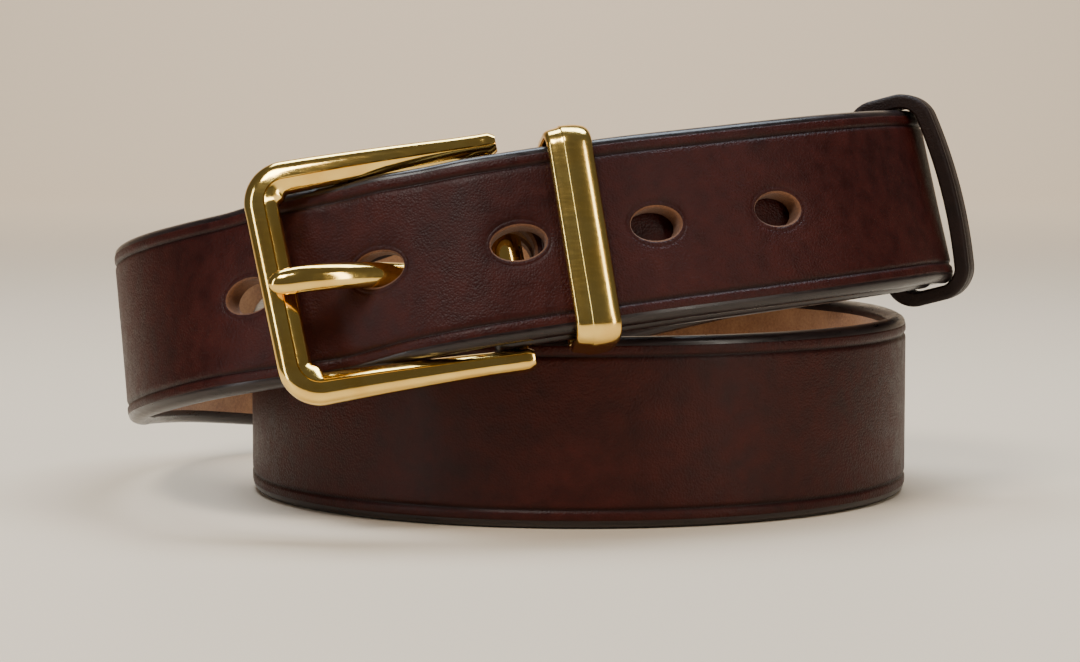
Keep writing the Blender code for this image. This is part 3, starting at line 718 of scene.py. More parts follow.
@dataclass(frozen=True)
class GrainLeather:
    """Waxed grain side of bridle leather, with a fine pebble and painted shade in its creases and
    hole rims.
    """

    name: str
    deep: Colour
    light: Colour
    pebble: float = 0.42
    roughness: float = 0.40

    def material(self) -> bpy.types.Material:
        """Build the finish."""
        nodes = Nodes(self.name)
        patches = nodes.noise(26.0, 4.0)
        mottle = nodes.noise(3.2, 3.0)
        cells = nodes.pebbles(self.pebble)
        pores = nodes.noise(0.22, 2.0)
        groove_shade = nodes.attribute("groove_shade")
        blend = nodes.span(nodes.math("ADD", patches, mottle), 0.7, 1.35, 0.0, 1.0)
        colour = nodes.mix(blend, self.deep, self.light)
        # Painted shade: the grain darkens toward a third of its deep colour where the creases and
        # hole rims dip.
        dark = tuple(0.35 * part for part in self.deep)
        colour = nodes.mix(nodes.span(groove_shade, 0.0, 1.0, 0.0, 0.85), colour, dark)
        strength = nodes.span(patches, 0.38, 0.64, 0.35, 1.0)
        relief = nodes.math("MULTIPLY", nodes.math("ADD", cells, nodes.math("MULTIPLY", pores, 0.35)),
                            strength)
        gloss = nodes.span(nodes.math("ADD", mottle, cells), 0.5, 1.2, self.roughness - 0.06,
                           self.roughness + 0.12)
        nodes.set(base_color=colour, roughness=gloss, normal=nodes.bump(relief, 0.11, 1.0),
                  specular_ior_level=0.19, coat_weight=0.02, coat_roughness=0.3)
        return nodes.material


@dataclass(frozen=True)
class BurnishedEdge:
    """Dyed, waxed and rubbed edge, nearly black and glossy."""

    name: str
    colour: Colour = (0.007, 0.0035, 0.0035)

    def material(self) -> bpy.types.Material:
        """Build the finish."""
        nodes = Nodes(self.name)
        layers = nodes.noise(1.1, 4.0, nodes.stretched((0.35, 0.35, 2.6)))
        warm = tuple(2.6 * part for part in self.colour)
        colour = nodes.mix(nodes.span(layers, 0.35, 0.7, 0.0, 1.0), self.colour, warm)
        nodes.set(base_color=colour, roughness=nodes.span(layers, 0.3, 0.7, 0.26, 0.38),
                  normal=nodes.bump(layers, 0.02, 0.25), specular_ior_level=0.4, coat_weight=0.08,
                  coat_roughness=0.2)
        return nodes.material


@dataclass(frozen=True)
class FleshSide:
    """Undyed, fibrous flesh side, or the raw wall of a punched hole."""

    name: str
    light: Colour
    dark: Colour
    fibre: float = 0.6

    def material(self) -> bpy.types.Material:
        """Build the finish."""
        nodes = Nodes(self.name)
        clouds = nodes.noise(9.0, 5.0)
        fibres = nodes.noise(self.fibre, 6.0, roughness=0.7)
        share = nodes.span(nodes.math("ADD", clouds, fibres), 0.75, 1.3, 0.0, 1.0)
        nodes.set(base_color=nodes.mix(share, self.dark, self.light), roughness=0.82,
                  normal=nodes.bump(fibres, 0.16, 0.7), sheen_weight=0.12, sheen_roughness=0.6)
        return nodes.material


@dataclass(frozen=True)
class PolishedBrass:
    """Cast and polished brass with faint rubbing marks."""

    name: str
    bright: Colour = (0.98, 0.70, 0.20)
    warm: Colour = (0.86, 0.54, 0.13)
    roughness: float = 0.07

    def material(self) -> bpy.types.Material:
        """Build the finish."""
        nodes = Nodes(self.name)
        tone = nodes.noise(7.0, 4.0)
        rubbing = nodes.noise(0.5, 3.0, nodes.stretched((0.18, 1.0, 1.0)))
        colour = nodes.mix(nodes.span(tone, 0.35, 0.7, 0.0, 1.0), self.bright, self.warm)
        gloss = nodes.span(nodes.math("ADD", tone, rubbing), 0.7, 1.3, self.roughness,
                           self.roughness + 0.07)
        nodes.set(base_color=colour, metallic=1.0, roughness=gloss,
                  normal=nodes.bump(rubbing, 0.012, 0.35))
        return nodes.material


@dataclass(frozen=True)
class WaxedThread:
    """Dark waxed linen thread."""

    name: str
    colour: Colour = (0.045, 0.024, 0.018)

    def material(self) -> bpy.types.Material:
        """Build the finish."""
        nodes = Nodes(self.name)
        fluff = nodes.noise(0.18, 4.0)
        light = tuple(1.9 * part for part in self.colour)
        nodes.set(base_color=nodes.mix(fluff, self.colour, light), roughness=0.62,
                  normal=nodes.bump(fluff, 0.04, 0.6), sheen_weight=0.2)
        return nodes.material


@dataclass(frozen=True)
class DrawnWire:
    """Plain drawn steel wire."""

    name: str
    colour: Colour = (0.55, 0.55, 0.56)

    def material(self) -> bpy.types.Material:
        """Build the finish."""
        nodes = Nodes(self.name)
        marks = nodes.noise(0.3, 3.0)
        nodes.set(base_color=nodes.mix(marks, self.colour, (0.36, 0.36, 0.38)), metallic=1.0,
                  roughness=nodes.span(marks, 0.3, 0.7, 0.24, 0.42))
        return nodes.material


@dataclass(frozen=True)
class PlainFloor:
    """Pale matt floor."""

    name: str = "pale_floor"
    colour: Colour = (0.80, 0.66, 0.50)

    def material(self) -> bpy.types.Material:
        """Build the finish."""
        nodes = Nodes(self.name)
        nodes.set(base_color=self.colour, roughness=0.55)
        return nodes.material


# ---- the strap ---------------------------------------------------------------------------
@dataclass(frozen=True)
class Opening:
    """Hole punched through the strap, opened in the grid and drawn to its outline.

    The grid cells inside are taken out, and the rings of vertices round them are drawn to
    the hole's outline and sunk to its pressed rim.  An oval hole is an ellipse whose rim
    spreads further across the strap than along it; any other is a slot with round ends.
    """

    centre: float
    length: float
    width: float
    step: float
    rows: int
    columns: int
    reach: tuple[float, ...]
    pull: tuple[float, ...]
    sink: tuple[float, ...]
    oval: bool = False
    spread: float = 1.6

    def stations(self) -> list[float]:
        """Stations along the strap that this hole needs."""
        count = self.rows + len(self.reach) + 1
        return [self.centre + self.step * k for k in range(-count, count + 1)]

    def place(self, along: float, across: float, ring: int) -> tuple[float, float, float]:
        """Place of a vertex near the hole.

        Args:
            along: Its natural distance from the hole's centre, along the strap.
            across: The same, across the strap.
            ring: Number of its ring, counted from the hole's edge.

        Returns:
            New distances along and across, and how far the grain side sinks there.
        """
        share = self.pull[ring]
        if self.oval:
            reach = self.reach[ring]
            angle = self.square_angle(along, across)
            new_along = (self.length / 2 + reach) * math.cos(angle)
            new_across = (self.width / 2 + self.spread * reach) * math.sin(angle)
        else:
            half = (self.length - self.width) / 2
            core = min(max(along, -half), half)
            wanted = self.width / 2 + self.reach[ring]
            away = math.hypot(along - core, across)
            new_along = core + (along - core) * wanted / away
            new_across = across * wanted / away
        return (along + share * (new_along - along), across + share * (new_across - across),
                self.sink[ring])

    def square_angle(self, along: float, across: float) -> float:
        """Angle of a grid vertex that spreads its square ring evenly round an ellipse."""
        tall = self.rows * self.step
        wide = tall * self.width / self.length
        return math.atan2(across / wide, along / tall)


@dataclass
class BeltStrap:
    """The one strap of leather, cut flat, creased, punched and bent along its route."""

    line: StrapLine
    step: float = 2.6
    hole_pitch: float = 25.4
    hole_count: int = 5
    prong_hole_at: float = -22.8
    hole_length: float = 9.9
    hole_width: float = 6.3
    slot_length: float = 21.0
    slot_width: float = 9.6
    middle_step: float = 0.9
    middle_columns: int = 10
    flank_columns: Stations = (
        (10.2, 0.0), (11.4, 0.0), (12.4, 0.0), (13.0, 0.0), (13.35, -0.04), (13.6, -0.16),
        (13.82, -0.30), (14.0, -0.34), (14.18, -0.26), (14.4, -0.08), (14.65, 0.02), (15.1, 0.02),
        (15.55, 0.0), (15.78, -0.03), (15.9, -0.12),
    )
    flesh_columns: tuple[float, ...] = (10.2, 11.4, 12.6, 13.8, 15.0)
    edge_start: float = 16.02
    edge_drop: float = 0.12
    edge_steps: int = 12

    def section(self) -> list[tuple[float, float, Side]]:
        """Points round the strap's section.

        Returns:
            For each point: distance across, height over the middle, and the side it is on.
        """
        half = self.line.route.plan.thickness / 2
        centre = [(self.middle_step * i, 0.0) for i in range(1, self.middle_columns + 1)]
        right = centre + list(self.flank_columns)
        grain = [(-v, half + sink, Side.GRAIN) for v, sink in reversed(right)]
        grain.append((0.0, half, Side.GRAIN))
        grain += [(v, half + sink, Side.GRAIN) for v, sink in right]
        reach = self.line.route.plan.strap_width / 2 - self.edge_start
        edge = []
        for i in range(self.edge_steps + 1):
            angle = math.pi / 2 - math.pi * i / self.edge_steps
            height = (half - self.edge_drop) if i < self.edge_steps / 2 else half
            edge.append((self.edge_start + reach * math.cos(angle), height * math.sin(angle),
                         Side.EDGE))
        under = [v for v, _ in centre] + list(self.flesh_columns)
        flesh = [(v, -half, Side.FLESH) for v in reversed(under)]
        flesh.append((0.0, -half, Side.FLESH))
        flesh += [(-v, -half, Side.FLESH) for v in under]
        other_edge = [(-v, h, side) for v, h, side in reversed(edge)]
        return grain + edge + flesh + other_edge

    def openings(self) -> list[Opening]:
        """The five belt holes and the tongue's slot at the fold."""
        made = []
        for number in range(self.hole_count):
            centre = self.line.buckle_length + self.prong_hole_at + self.hole_pitch * (number - 1)
            made.append(Opening(
                centre, self.hole_length, self.hole_width, 0.6, 7, 4,
                (0.0, 0.20, 0.36, 0.56, 0.66, 0.76, 0.90, 1.2, 1.9, 2.9, 4.0),
                (1.0, 1.0, 1.0, 1.0, 1.0, 1.0, 1.0, 1.0, 0.7, 0.4, 0.15),
                (-0.50, -0.24, -0.18, -0.15, -0.20, -0.19, -0.10, -0.03, 0.01, 0.0, 0.0), oval=True))
        middle = self.line.bar_length - math.pi * self.line.route.plan.fold_radius / 2
        made.append(Opening(middle, self.slot_length, self.slot_width, 0.75, 13, 5,
                            (0.0, 0.6, 1.4, 2.4), (1.0, 0.9, 0.6, 0.3), (-0.15, 0.0, 0.0, 0.0)))
        return made

    def stations(self, openings: Sequence[Opening]) -> list[float]:
        """Stations along the strap, close at the holes and even between them."""
        fixed = sorted(station for opening in openings for station in opening.stations())
        stations = [0.0]
        for target in [*fixed, self.line.length]:
            gap = target - stations[-1]
            cells = max(1, math.ceil(gap / self.step))
            if gap < 0.05:
                continue
            start = stations[-1]
            stations += [start + gap * (i + 1) / cells for i in range(cells)]
        return stations

    def build(self) -> bpy.types.Object:
        """Cut, punch and bend the strap."""
        openings = self.openings()
        stations = self.stations(openings)
        section = self.section()
        rows, columns = len(stations) - 1, len(section)
        piece, row, column = grid("belt_strap", rows, columns)
        along, across, height, groove_shade = self.flat_places(stations, section, openings)
        column = column % columns
        flat = np.stack([along[row, column], across[row, column], height[row, column]], axis=1)
        piece.data.vertices.foreach_set("co", (flat * MM).astype(np.float32).ravel())
        # Groove depth kept on the mesh only to paint shade into the creases and hole rims.
        shade = piece.data.attributes.new("groove_shade", "FLOAT", "POINT")
        shade.data.foreach_set("value", groove_shade[row, column].astype(np.float32))
        self.mark_sides(piece, row, column, section, self.near_holes(stations, section, openings, 1))
        self.open_holes(piece, self.near_holes(stations, section, openings, 0)[row, column])
        self.bridge_holes(piece, openings)
        close_up(piece)
        self.bend(piece)
        edit(piece)
        bpy.ops.mesh.select_all(action="SELECT")
        bpy.ops.mesh.normals_make_consistent(inside=False)
        bpy.ops.object.mode_set(mode="OBJECT")
        smooth(piece, 50.0)
        return piece

    def flat_places(self, stations: Sequence[float], section: Sequence[tuple[float, float, Side]],
                    openings: Sequence[Opening]) -> tuple[np.ndarray, ...]:
        """Places of the flat strap's vertices.

        Args:
            stations: Lengths of strap at each row.
            section: Points round the section.
            openings: Holes to open.

        Returns:
            Four tables by row and column: along, across, height and depth of groove, which sets the
                painted shade in the creases and round the holes.
        """
        half = self.line.route.plan.thickness / 2
        rows, columns = len(stations), len(section)
        along = np.repeat(np.array(stations)[:, None], columns, axis=1)
        shares = np.array([self.line.width_share(station) for station in stations])
        across = shares[:, None] * np.array([v for v, _, _ in section])[None, :]
        height = np.repeat(np.array([h for _, h, _ in section])[None, :], rows, axis=0)
        # Depth of the edge creases, used for their painted shade.
        sunk = np.array([min(max((half - h) / 0.34, 0.0), 1.0) if side is Side.GRAIN else 0.0
                         for _, h, side in section])
        groove_shade = np.repeat(sunk[None, :], rows, axis=0)
        for opening in openings:
            first = int(np.argmin(np.abs(np.array(stations) - opening.centre)))
            for middle, side in self.middles(section):
                for i, j, ring in self.rings(opening, first, middle):
                    ds, dv, sink = opening.place(along[i, j] - opening.centre, across[i, j], ring)
                    along[i, j], across[i, j] = opening.centre + ds, dv
                    if side is Side.GRAIN:
                        height[i, j] += sink
                        # Painted shade round each hole, deeper where the rim sinks.
                        groove_shade[i, j] = min(max(-1.3 * sink, 0.0), 1.0)
                    else:
                        height[i, j] -= 0.4 * sink
        return along, across, height, groove_shade

    @staticmethod
    def middles(section: Sequence[tuple[float, float, Side]]) -> list[tuple[int, Side]]:
        """Column numbers of the middle of the grain side and of the flesh side."""
        return [(j, side) for j, (v, _, side) in enumerate(section) if v == 0.0]

    @staticmethod
    def rings(opening: Opening, first: int, middle: int) -> list[tuple[int, int, int]]:
        """Row, column and ring number of the vertices that a hole moves."""
        found = []
        count = len(opening.reach)
        for i in range(-opening.rows - count + 1, opening.rows + count):
            for j in range(-opening.columns - count + 1, opening.columns + count):
                ring = max(abs(i) - opening.rows, abs(j) - opening.columns)
                if 0 <= ring < count:
                    found.append((first + i, middle + j, ring))
        return found

    @staticmethod
    def mark_sides(piece: bpy.types.Object, row: np.ndarray, column: np.ndarray,
                   section: Sequence[tuple[float, float, Side]], rims: np.ndarray) -> None:
        """Give each face the slot of its side of the leather, or of a hole's raw rim."""
        slots = []
        for face in piece.data.polygons:
            sides = {section[column[index]][2] for index in face.vertices}
            side = sides.pop() if len(sides) == 1 else Side.EDGE
            if all(rims[row[index], column[index]] for index in face.vertices):
                side = Side.RAW
            slots.append(side.value)
        for _ in Side:
            piece.data.materials.append(None)
        piece.data.polygons.foreach_set("material_index", slots)

    def near_holes(self, stations: Sequence[float], section: Sequence[tuple[float, float, Side]],
                   openings: Sequence[Opening], rings: int) -> np.ndarray:
        """Mark the vertices inside each hole and on a number of rings round it.

        Args:
            stations: Lengths of strap at each row.
            section: Points round the section.
            openings: The holes.
            rings: Number of rings to take in beyond the hole's edge.

        Returns:
            A table by row and column, true where a vertex is taken in.
        """
        inside = np.zeros((len(stations), len(section)), dtype=bool)
        for opening in openings:
            first = int(np.argmin(np.abs(np.array(stations) - opening.centre)))
            reach, spread = opening.rows + rings, opening.columns + rings
            for middle, _ in self.middles(section):
                inside[first - reach:first + reach + 1, middle - spread:middle + spread + 1] = True
        return inside

    @staticmethod
    def open_holes(piece: bpy.types.Object, inside: np.ndarray) -> None:
        """Take out the faces inside each hole, on both sides of the leather."""
        chosen = [polygon.index for polygon in piece.data.polygons
                  if all(inside[index] for index in polygon.vertices)]
        edit(piece, "FACE")
        shape = bmesh.from_edit_mesh(piece.data)
        shape.faces.ensure_lookup_table()
        for index in chosen:
            shape.faces[index].select_set(True)
        bmesh.update_edit_mesh(piece.data)
        bpy.ops.mesh.delete(type="FACE")
        bpy.ops.mesh.select_mode(type="VERT")
        bpy.ops.mesh.select_all(action="SELECT")
        bpy.ops.mesh.remove_doubles(threshold=MERGE_DISTANCE)
        bpy.ops.object.mode_set(mode="OBJECT")

    def bridge_holes(self, piece: bpy.types.Object, openings: Sequence[Opening]) -> None:
        """Join the rims of each hole with a raw wall."""
        for opening in openings:
            edit(piece, "EDGE")
            shape = bmesh.from_edit_mesh(piece.data)
            for rim in shape.edges:
                middle = (rim.verts[0].co + rim.verts[1].co) / 2 / MM
                near = abs(middle.x - opening.centre) < opening.length / 2 + 0.5
                if rim.is_boundary and near and abs(middle.y) < opening.width / 2 + 0.5:
                    rim.select_set(True)
            bmesh.update_edit_mesh(piece.data)
            bpy.ops.mesh.bridge_edge_loops(number_cuts=3)
            piece.active_material_index = Side.RAW.value
            bpy.ops.object.material_slot_assign()
            bpy.ops.object.mode_set(mode="OBJECT")

    def bend(self, piece: bpy.types.Object) -> None:
        """Lay the flat strap along its line."""
        full = self.line.route.plan.thickness
        for vertex in piece.data.vertices:
            length, across_by, height = vertex.co / MM
            place, outward, across = self.line.frame(length)
            height *= self.line.thickness(length) / full
            vertex.co = (place + across_by * across + height * outward) * MM
        piece.data.update()

    def dress(self, piece: bpy.types.Object) -> None:
        """Give each side of the leather its finish."""
        grain = GrainLeather("bridle_grain", (0.019, 0.0018, 0.0010), (0.043, 0.0048, 0.0024))
        flesh = FleshSide("natural_flesh", (0.40, 0.20, 0.085), (0.20, 0.085, 0.034))
        # The hole walls take the flesh side's tan, darkened to about half as painted shade inside the
        # holes.
        raw = FleshSide("punched_wall_shaded", (0.22, 0.085, 0.030), (0.07, 0.024, 0.009), 0.35)
        finishes = (grain, BurnishedEdge("burnished_edge"), flesh, raw)
        for side, finish in zip(Side, finishes):
            piece.data.materials[side.value] = finish.material()
        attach(piece, "strap")
        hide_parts("strap")


# ---- the buckle --------------------------------------------------------------------------
@dataclass
class BuckleFrame:
    """Cast frame: a broad front bar, two arms and the heel bar."""

    route: Route
    front_at: float = -41.0
    end_at: float = 2.6
    height_front: float = 45.1
    height_bar: float = 44.8
    arm_width: float = 4.0
    front_width: float = 5.2
    corner_radius: float = 5.0
    bar_rise: float = 1.6
    front_rise: float = 6.6
    rise_curve: float = 1.6
    arm_steps: int = 33
    turn_steps: int = 16
    side_play: float = 0.8
    front_skew: float = 0.042
    front_half_width: float = 3.1
    arm_half_width: float = 2.1
    front_half_depth: float = 2.45
    arm_half_depth: float = 2.0
    boss_depth: float = 1.5

    def seat(self) -> Matrix:
        """Seat of the buckle, whose origin is the middle of the heel bar."""
        axis, _, _, across = self.route.heel_bar()
        front, _, _, _ = self.route.frame(self.route.total + self.front_at)
        along = axis - front
        along = (along - along.dot(across) * across).normalized()
        return seat_matrix(axis, along, along.cross(across), across)

    def rise(self, at: float) -> float:
        """Height of the frame's middle above the heel bar, at a distance from the bar."""
        part = min(max(at / self.front_at, 0.0), 1.0)
        climb = 1.0 - (1.0 - part) ** self.rise_curve
        return self.bar_rise + (self.front_rise - self.bar_rise) * climb

    def middle(self, x: float, y: float) -> Vector:
        """Place on the frame's middle line, whose front bar is a little askew."""
        part = min(max(x / self.front_at, 0.0), 1.0)
        slant = self.front_skew * part * (self.height_front / 2 - y)
        return Vector((x + slant, y + self.side_play, self.rise(x)))

    def path(self) -> list[tuple[float, float, float]]:
        """Middle line from one arm's end to the other's.

        Returns:
            For each station: distance along, distance across, and how far into a corner it is.
        """
        half_bar = (self.height_bar - self.arm_width) / 2
        half_front = (self.height_front - self.front_width) / 2
        corner_x = self.front_at + self.corner_radius
        top = []
        for step in range(self.arm_steps):
            part = step / self.arm_steps
            top.append((self.end_at + part * (corner_x - self.end_at),
                        half_bar + part * (half_front - half_bar), 0.0))
        for step in range(self.turn_steps + 1):
            angle = math.pi / 2 * (1.0 + step / self.turn_steps)
            top.append((corner_x + self.corner_radius * math.cos(angle),
                        half_front - self.corner_radius + self.corner_radius * math.sin(angle),
                        math.sin(math.pi * step / self.turn_steps)))
        last = half_front - self.corner_radius
        bar = [(self.front_at, last * (1 - 2 * step / self.turn_steps), 0.0)
               for step in range(1, self.turn_steps)]
        bottom = [(x, -y, corner) for x, y, corner in reversed(top)]
        return top + bar + bottom

    def outline(self, x: float, corner: float, to_end: float) -> list[tuple[float, float]]:
        """Section of the frame: rounded outside, a bevel inside and a fine line between.

        Args:
            x: Distance from the heel bar.
            corner: 1 in the middle of a corner, 0 on straight runs.
            to_end: Distance to the nearer arm's end.

        Returns:
            Points with Y toward the inside of the buckle and Z outward.
        """
        front = min(1.0, max(0.0, -x / 34.0 - 0.15))
        wide = self.arm_half_width + (self.front_half_width - self.arm_half_width) * front
        deep = self.arm_half_depth + (self.front_half_depth - self.arm_half_depth) * front
        round_end = math.sqrt(1.0 - min(1.0, max(0.0, 1.0 - to_end / 0.9)) ** 2 * 0.55)
        boss = self.boss_depth * math.exp(-((x / 3.2) ** 4))
        inner = wide + 0.8 * corner
        line_at = 0.22 * wide
        points = []
        for i in range(19):
            angle = math.pi / 2 - math.pi * i / 18
            side = line_at - (wide + line_at) * abs(math.cos(angle)) ** 0.75
            lower = boss if angle < 0 else 0.0
            points.append((side, (deep + lower) * signed_power(math.sin(angle), 0.85)))
        points += [(inner * 0.72, -(deep + boss) * 0.92), (inner * 0.95, -deep * 0.6),
                   (inner, -deep * 0.15), (inner * 0.97, deep * 0.2), (inner * 0.86, deep * 0.42)]
        points += [(line_at + 0.5, deep * 0.86), (line_at + 0.26, deep * 0.92),
                   (line_at + 0.16, deep * 0.885), (line_at + 0.06, deep * 0.955)]
        return [(y * round_end, z * round_end) for y, z in points]

    def build(self) -> bpy.types.Object:
        """Carry the section along the frame and add the heel bar."""
        seat = self.seat()
        path = self.path()
        points = [seat @ self.middle(x, y) for x, y, _ in path]
        lengths = [0.0]
        for first, second in zip(points, points[1:]):
            lengths.append(lengths[-1] + (second - first).length)
        outward = seat.to_3x3() @ Vector((0, 0, 1))
        seats = []
        for i, place in enumerate(points):
            along = (points[min(i + 1, len(points) - 1)] - points[max(i - 1, 0)]).normalized()
            up = (outward - outward.dot(along) * along).normalized()
            seats.append(seat_matrix(place, along, up, up.cross(along)))

        def outline(number: int) -> list[tuple[float, float]]:
            """Section at one station."""
            x, _, corner = path[number]
            to_end = min(lengths[number], lengths[-1] - lengths[number])
            return self.outline(x, corner, to_end)

        piece = sweep("brass_buckle_frame", seats, outline)
        bar_seat = seat @ Matrix.Translation((0.0, self.side_play, 0.0))
        bar = rod("heel_bar", self.route.plan.bar_radius, self.height_bar - self.arm_width, bar_seat)
        cut(piece, bar, "UNION")
        smooth(piece, 38.0)
        return piece

    def dress(self, piece: bpy.types.Object) -> None:
        """Polish the frame."""
        piece.data.materials.clear()
        piece.data.materials.append(PolishedBrass("polished_cast_brass").material())
        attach(piece, "buckle_frame")
        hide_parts("buckle_frame")


@dataclass
class BuckleTongue:
    """Tongue: a sleeve on the heel bar and a shank that swells to a rounded tip."""

    frame: BuckleFrame
    sleeve_width: float = 6.4
    sleeve_radius: float = 3.8
    path: tuple[tuple[float, float, float], ...] = (
        (-2.0, -0.6, 1.75), (-7.5, -1.4, 1.75), (-12.5, -1.2, 1.8), (-17.5, 0.5, 2.05),
        (-22.5, 3.9, 2.35), (-28.5, 7.9, 2.45), (-34.0, 10.6, 2.5), (-37.4, 11.4, 2.4),
        (-39.4, 11.75, 2.0), (-40.6, 11.9, 1.2), (-41.0, 11.9, 0.35),
    )
    flatness: float = 0.74
    side_play: float = 0.5

    def side(self, at: float) -> float:
        """How far the tongue's middle is off the strap's middle, sideways."""
        return self.side_play * (1.0 - (at / self.frame.front_at) ** 2)

    def build(self) -> bpy.types.Object:
        """Shape the shank, join the sleeve and bore it for the bar."""
        seat = self.frame.seat()
        fine = smooth_line([Vector((x, z, r)) for x, z, r in self.path], 8)
        points = [seat @ Vector((p.x, self.side(p.x), p.y)) for p in fine]
        across = seat.to_3x3() @ Vector((0, 1, 0))
        seats = seats_on(points, across)
        piece = sweep("brass_buckle_tongue", seats,
                      lambda i: circle_points(max(fine[i].z, 0.3), 28, self.flatness))
        seat = seat @ Matrix.Translation((0.0, self.side_play, 0.0))
        sleeve = rod("tongue_sleeve", self.sleeve_radius, self.sleeve_width, seat, 48)
        soften(sleeve, 0.7)
        cut(piece, sleeve, "UNION")
        plan = self.frame.route.plan
        bore = rod("tongue_bore", plan.bar_radius + plan.bar_clearance, self.sleeve_width + 6.0, seat)
        cut(piece, bore, "DIFFERENCE")
        smooth(piece, 40.0)
        return piece

    def dress(self, piece: bpy.types.Object) -> None:
        """Polish the tongue."""
        piece.data.materials.clear()
        piece.data.materials.append(PolishedBrass("polished_tongue_brass").material())
        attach(piece, "buckle_tongue")
        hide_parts("buckle_tongue")


# ---- the two loops -----------------------------------------------------------------------
@dataclass
class Band:
    """Closed band round the strap, laid out on its inner face.

    The outline is a box with rounded corners, seen along the strap, whose outer side may
    stand off in a bow.
    """

    low: float
    high: float
    half: float
    corner: float
    bow: float = 0.0
    corner_steps: int = 12
    side_steps: int = 18

    def stations(self) -> list[tuple[float, float, float, float]]:
        """Points round the inner face.

        Returns:
            For each: distance across, height, and the outward normal's two parts.
        """
        half_z = (self.high - self.low) / 2
        middle = (self.high + self.low) / 2
        straight_y, straight_z = self.half - self.corner, half_z - self.corner
        points = []
        for quarter in range(4):
            sign_y = 1 if quarter in (0, 3) else -1
            sign_z = 1 if quarter in (0, 1) else -1
            for step in range(self.corner_steps + 1):
                angle = math.pi / 2 * (quarter + step / self.corner_steps)
                points.append((sign_y * straight_y + self.corner * math.cos(angle),
                               sign_z * straight_z + self.corner * math.sin(angle)))
            if quarter in (0, 2):
                for step in range(1, self.side_steps):
                    share = 1 - 2 * step / self.side_steps
                    points.append((sign_y * straight_y * share, sign_z * half_z))
        shaped = []
        for y, z in points:
            lift = self.bow * (1.0 - (y / self.half) ** 2) if z > 0 else 0.0
            shaped.append((y, middle + z + lift * min(1.0, z / half_z)))
        placed = []
        count = len(shaped)
        for i, (y, z) in enumerate(shaped):
            before, after = shaped[i - 1], shaped[(i + 1) % count]
            dy, dz = after[0] - before[0], after[1] - before[1]
            size = math.hypot(dy, dz)
            placed.append((y, z, dz / size, -dy / size))
        return placed

    def build(self, name: str, seat: Matrix,
              profile: Sequence[tuple[float, float]]) -> bpy.types.Object:
        """Carry a profile round the band.

        Args:
            name: Name of the piece.
            seat: Seat of the band, X along the strap.
            profile: Points as (distance along the strap, height over the inner face).

        Returns:
            The closed band, in metres.
        """
        sections = []
        for y, z, out_y, out_z in self.stations():
            sections.append([seat @ Vector((along, y + grow * out_y, z + grow * out_z))
                             for along, grow in profile])
        return loft(name, sections, ring=True)


@dataclass
class BrassLoop:
    """Brass loop beside the buckle, its back held between the two plies of the chape."""

    route: Route
    at: float = 13.3
    tilt: float = 3.3
    width: float = 8.2
    thickness: float = 2.3
    clearance: float = 0.9

    def profile(self) -> list[tuple[float, float]]:
        """Section: flat inside, one narrow and one broad facet outside."""
        half, deep = self.width / 2, self.thickness
        narrow_facet = [(-half, 0.35), (-half, 0.9), (-0.97 * half, 1.25), (-0.90 * half, 1.52),
                        (-0.80 * half, 1.68), (-0.62 * half, 1.84), (-0.45 * half, 1.98),
                        (-0.36 * half, deep - 0.24), (-0.33 * half, deep - 0.2),
                        (-0.30 * half, deep - 0.06)]
        broad_facet = [(-0.26 * half, deep), (0.0, deep + 0.04), (0.25 * half, deep + 0.02),
                       (0.50 * half, deep - 0.08), (0.70 * half, deep - 0.27),
                       (0.84 * half, deep - 0.52), (0.94 * half, deep - 0.88),
                       (0.99 * half, deep - 1.28), (half, 0.35)]
        return [*narrow_facet, *broad_facet, (half - 0.3, 0.04), (half - 0.6, 0.0), (0.0, 0.0),
                (-half + 0.6, 0.0), (-half + 0.3, 0.04)]

    def build(self) -> bpy.types.Object:
        """Bend the band round the strap."""
        plan = self.route.plan
        place, along, outward, across = self.route.frame(self.at)
        ply = smooth_table(plan.chape_thicknesses, self.at) / 2
        outer = smooth_table(plan.billet_offsets, self.at) + plan.thickness / 2
        band = Band(-ply - 0.8, outer + 0.5, plan.strap_width / 2 + self.clearance, 2.2)
        tilt = Matrix.Rotation(math.radians(-self.tilt), 4, "Z")
        seat = seat_matrix(place, along, outward, across) @ tilt
        piece = band.build("brass_strap_loop", seat, self.profile())
        smooth(piece, 30.0)
        return piece

    def dress(self, piece: bpy.types.Object) -> None:
        """Polish the loop."""
        piece.data.materials.append(PolishedBrass("polished_loop_brass", roughness=0.12).material())
        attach(piece, "brass_loop")
        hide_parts("brass_loop")


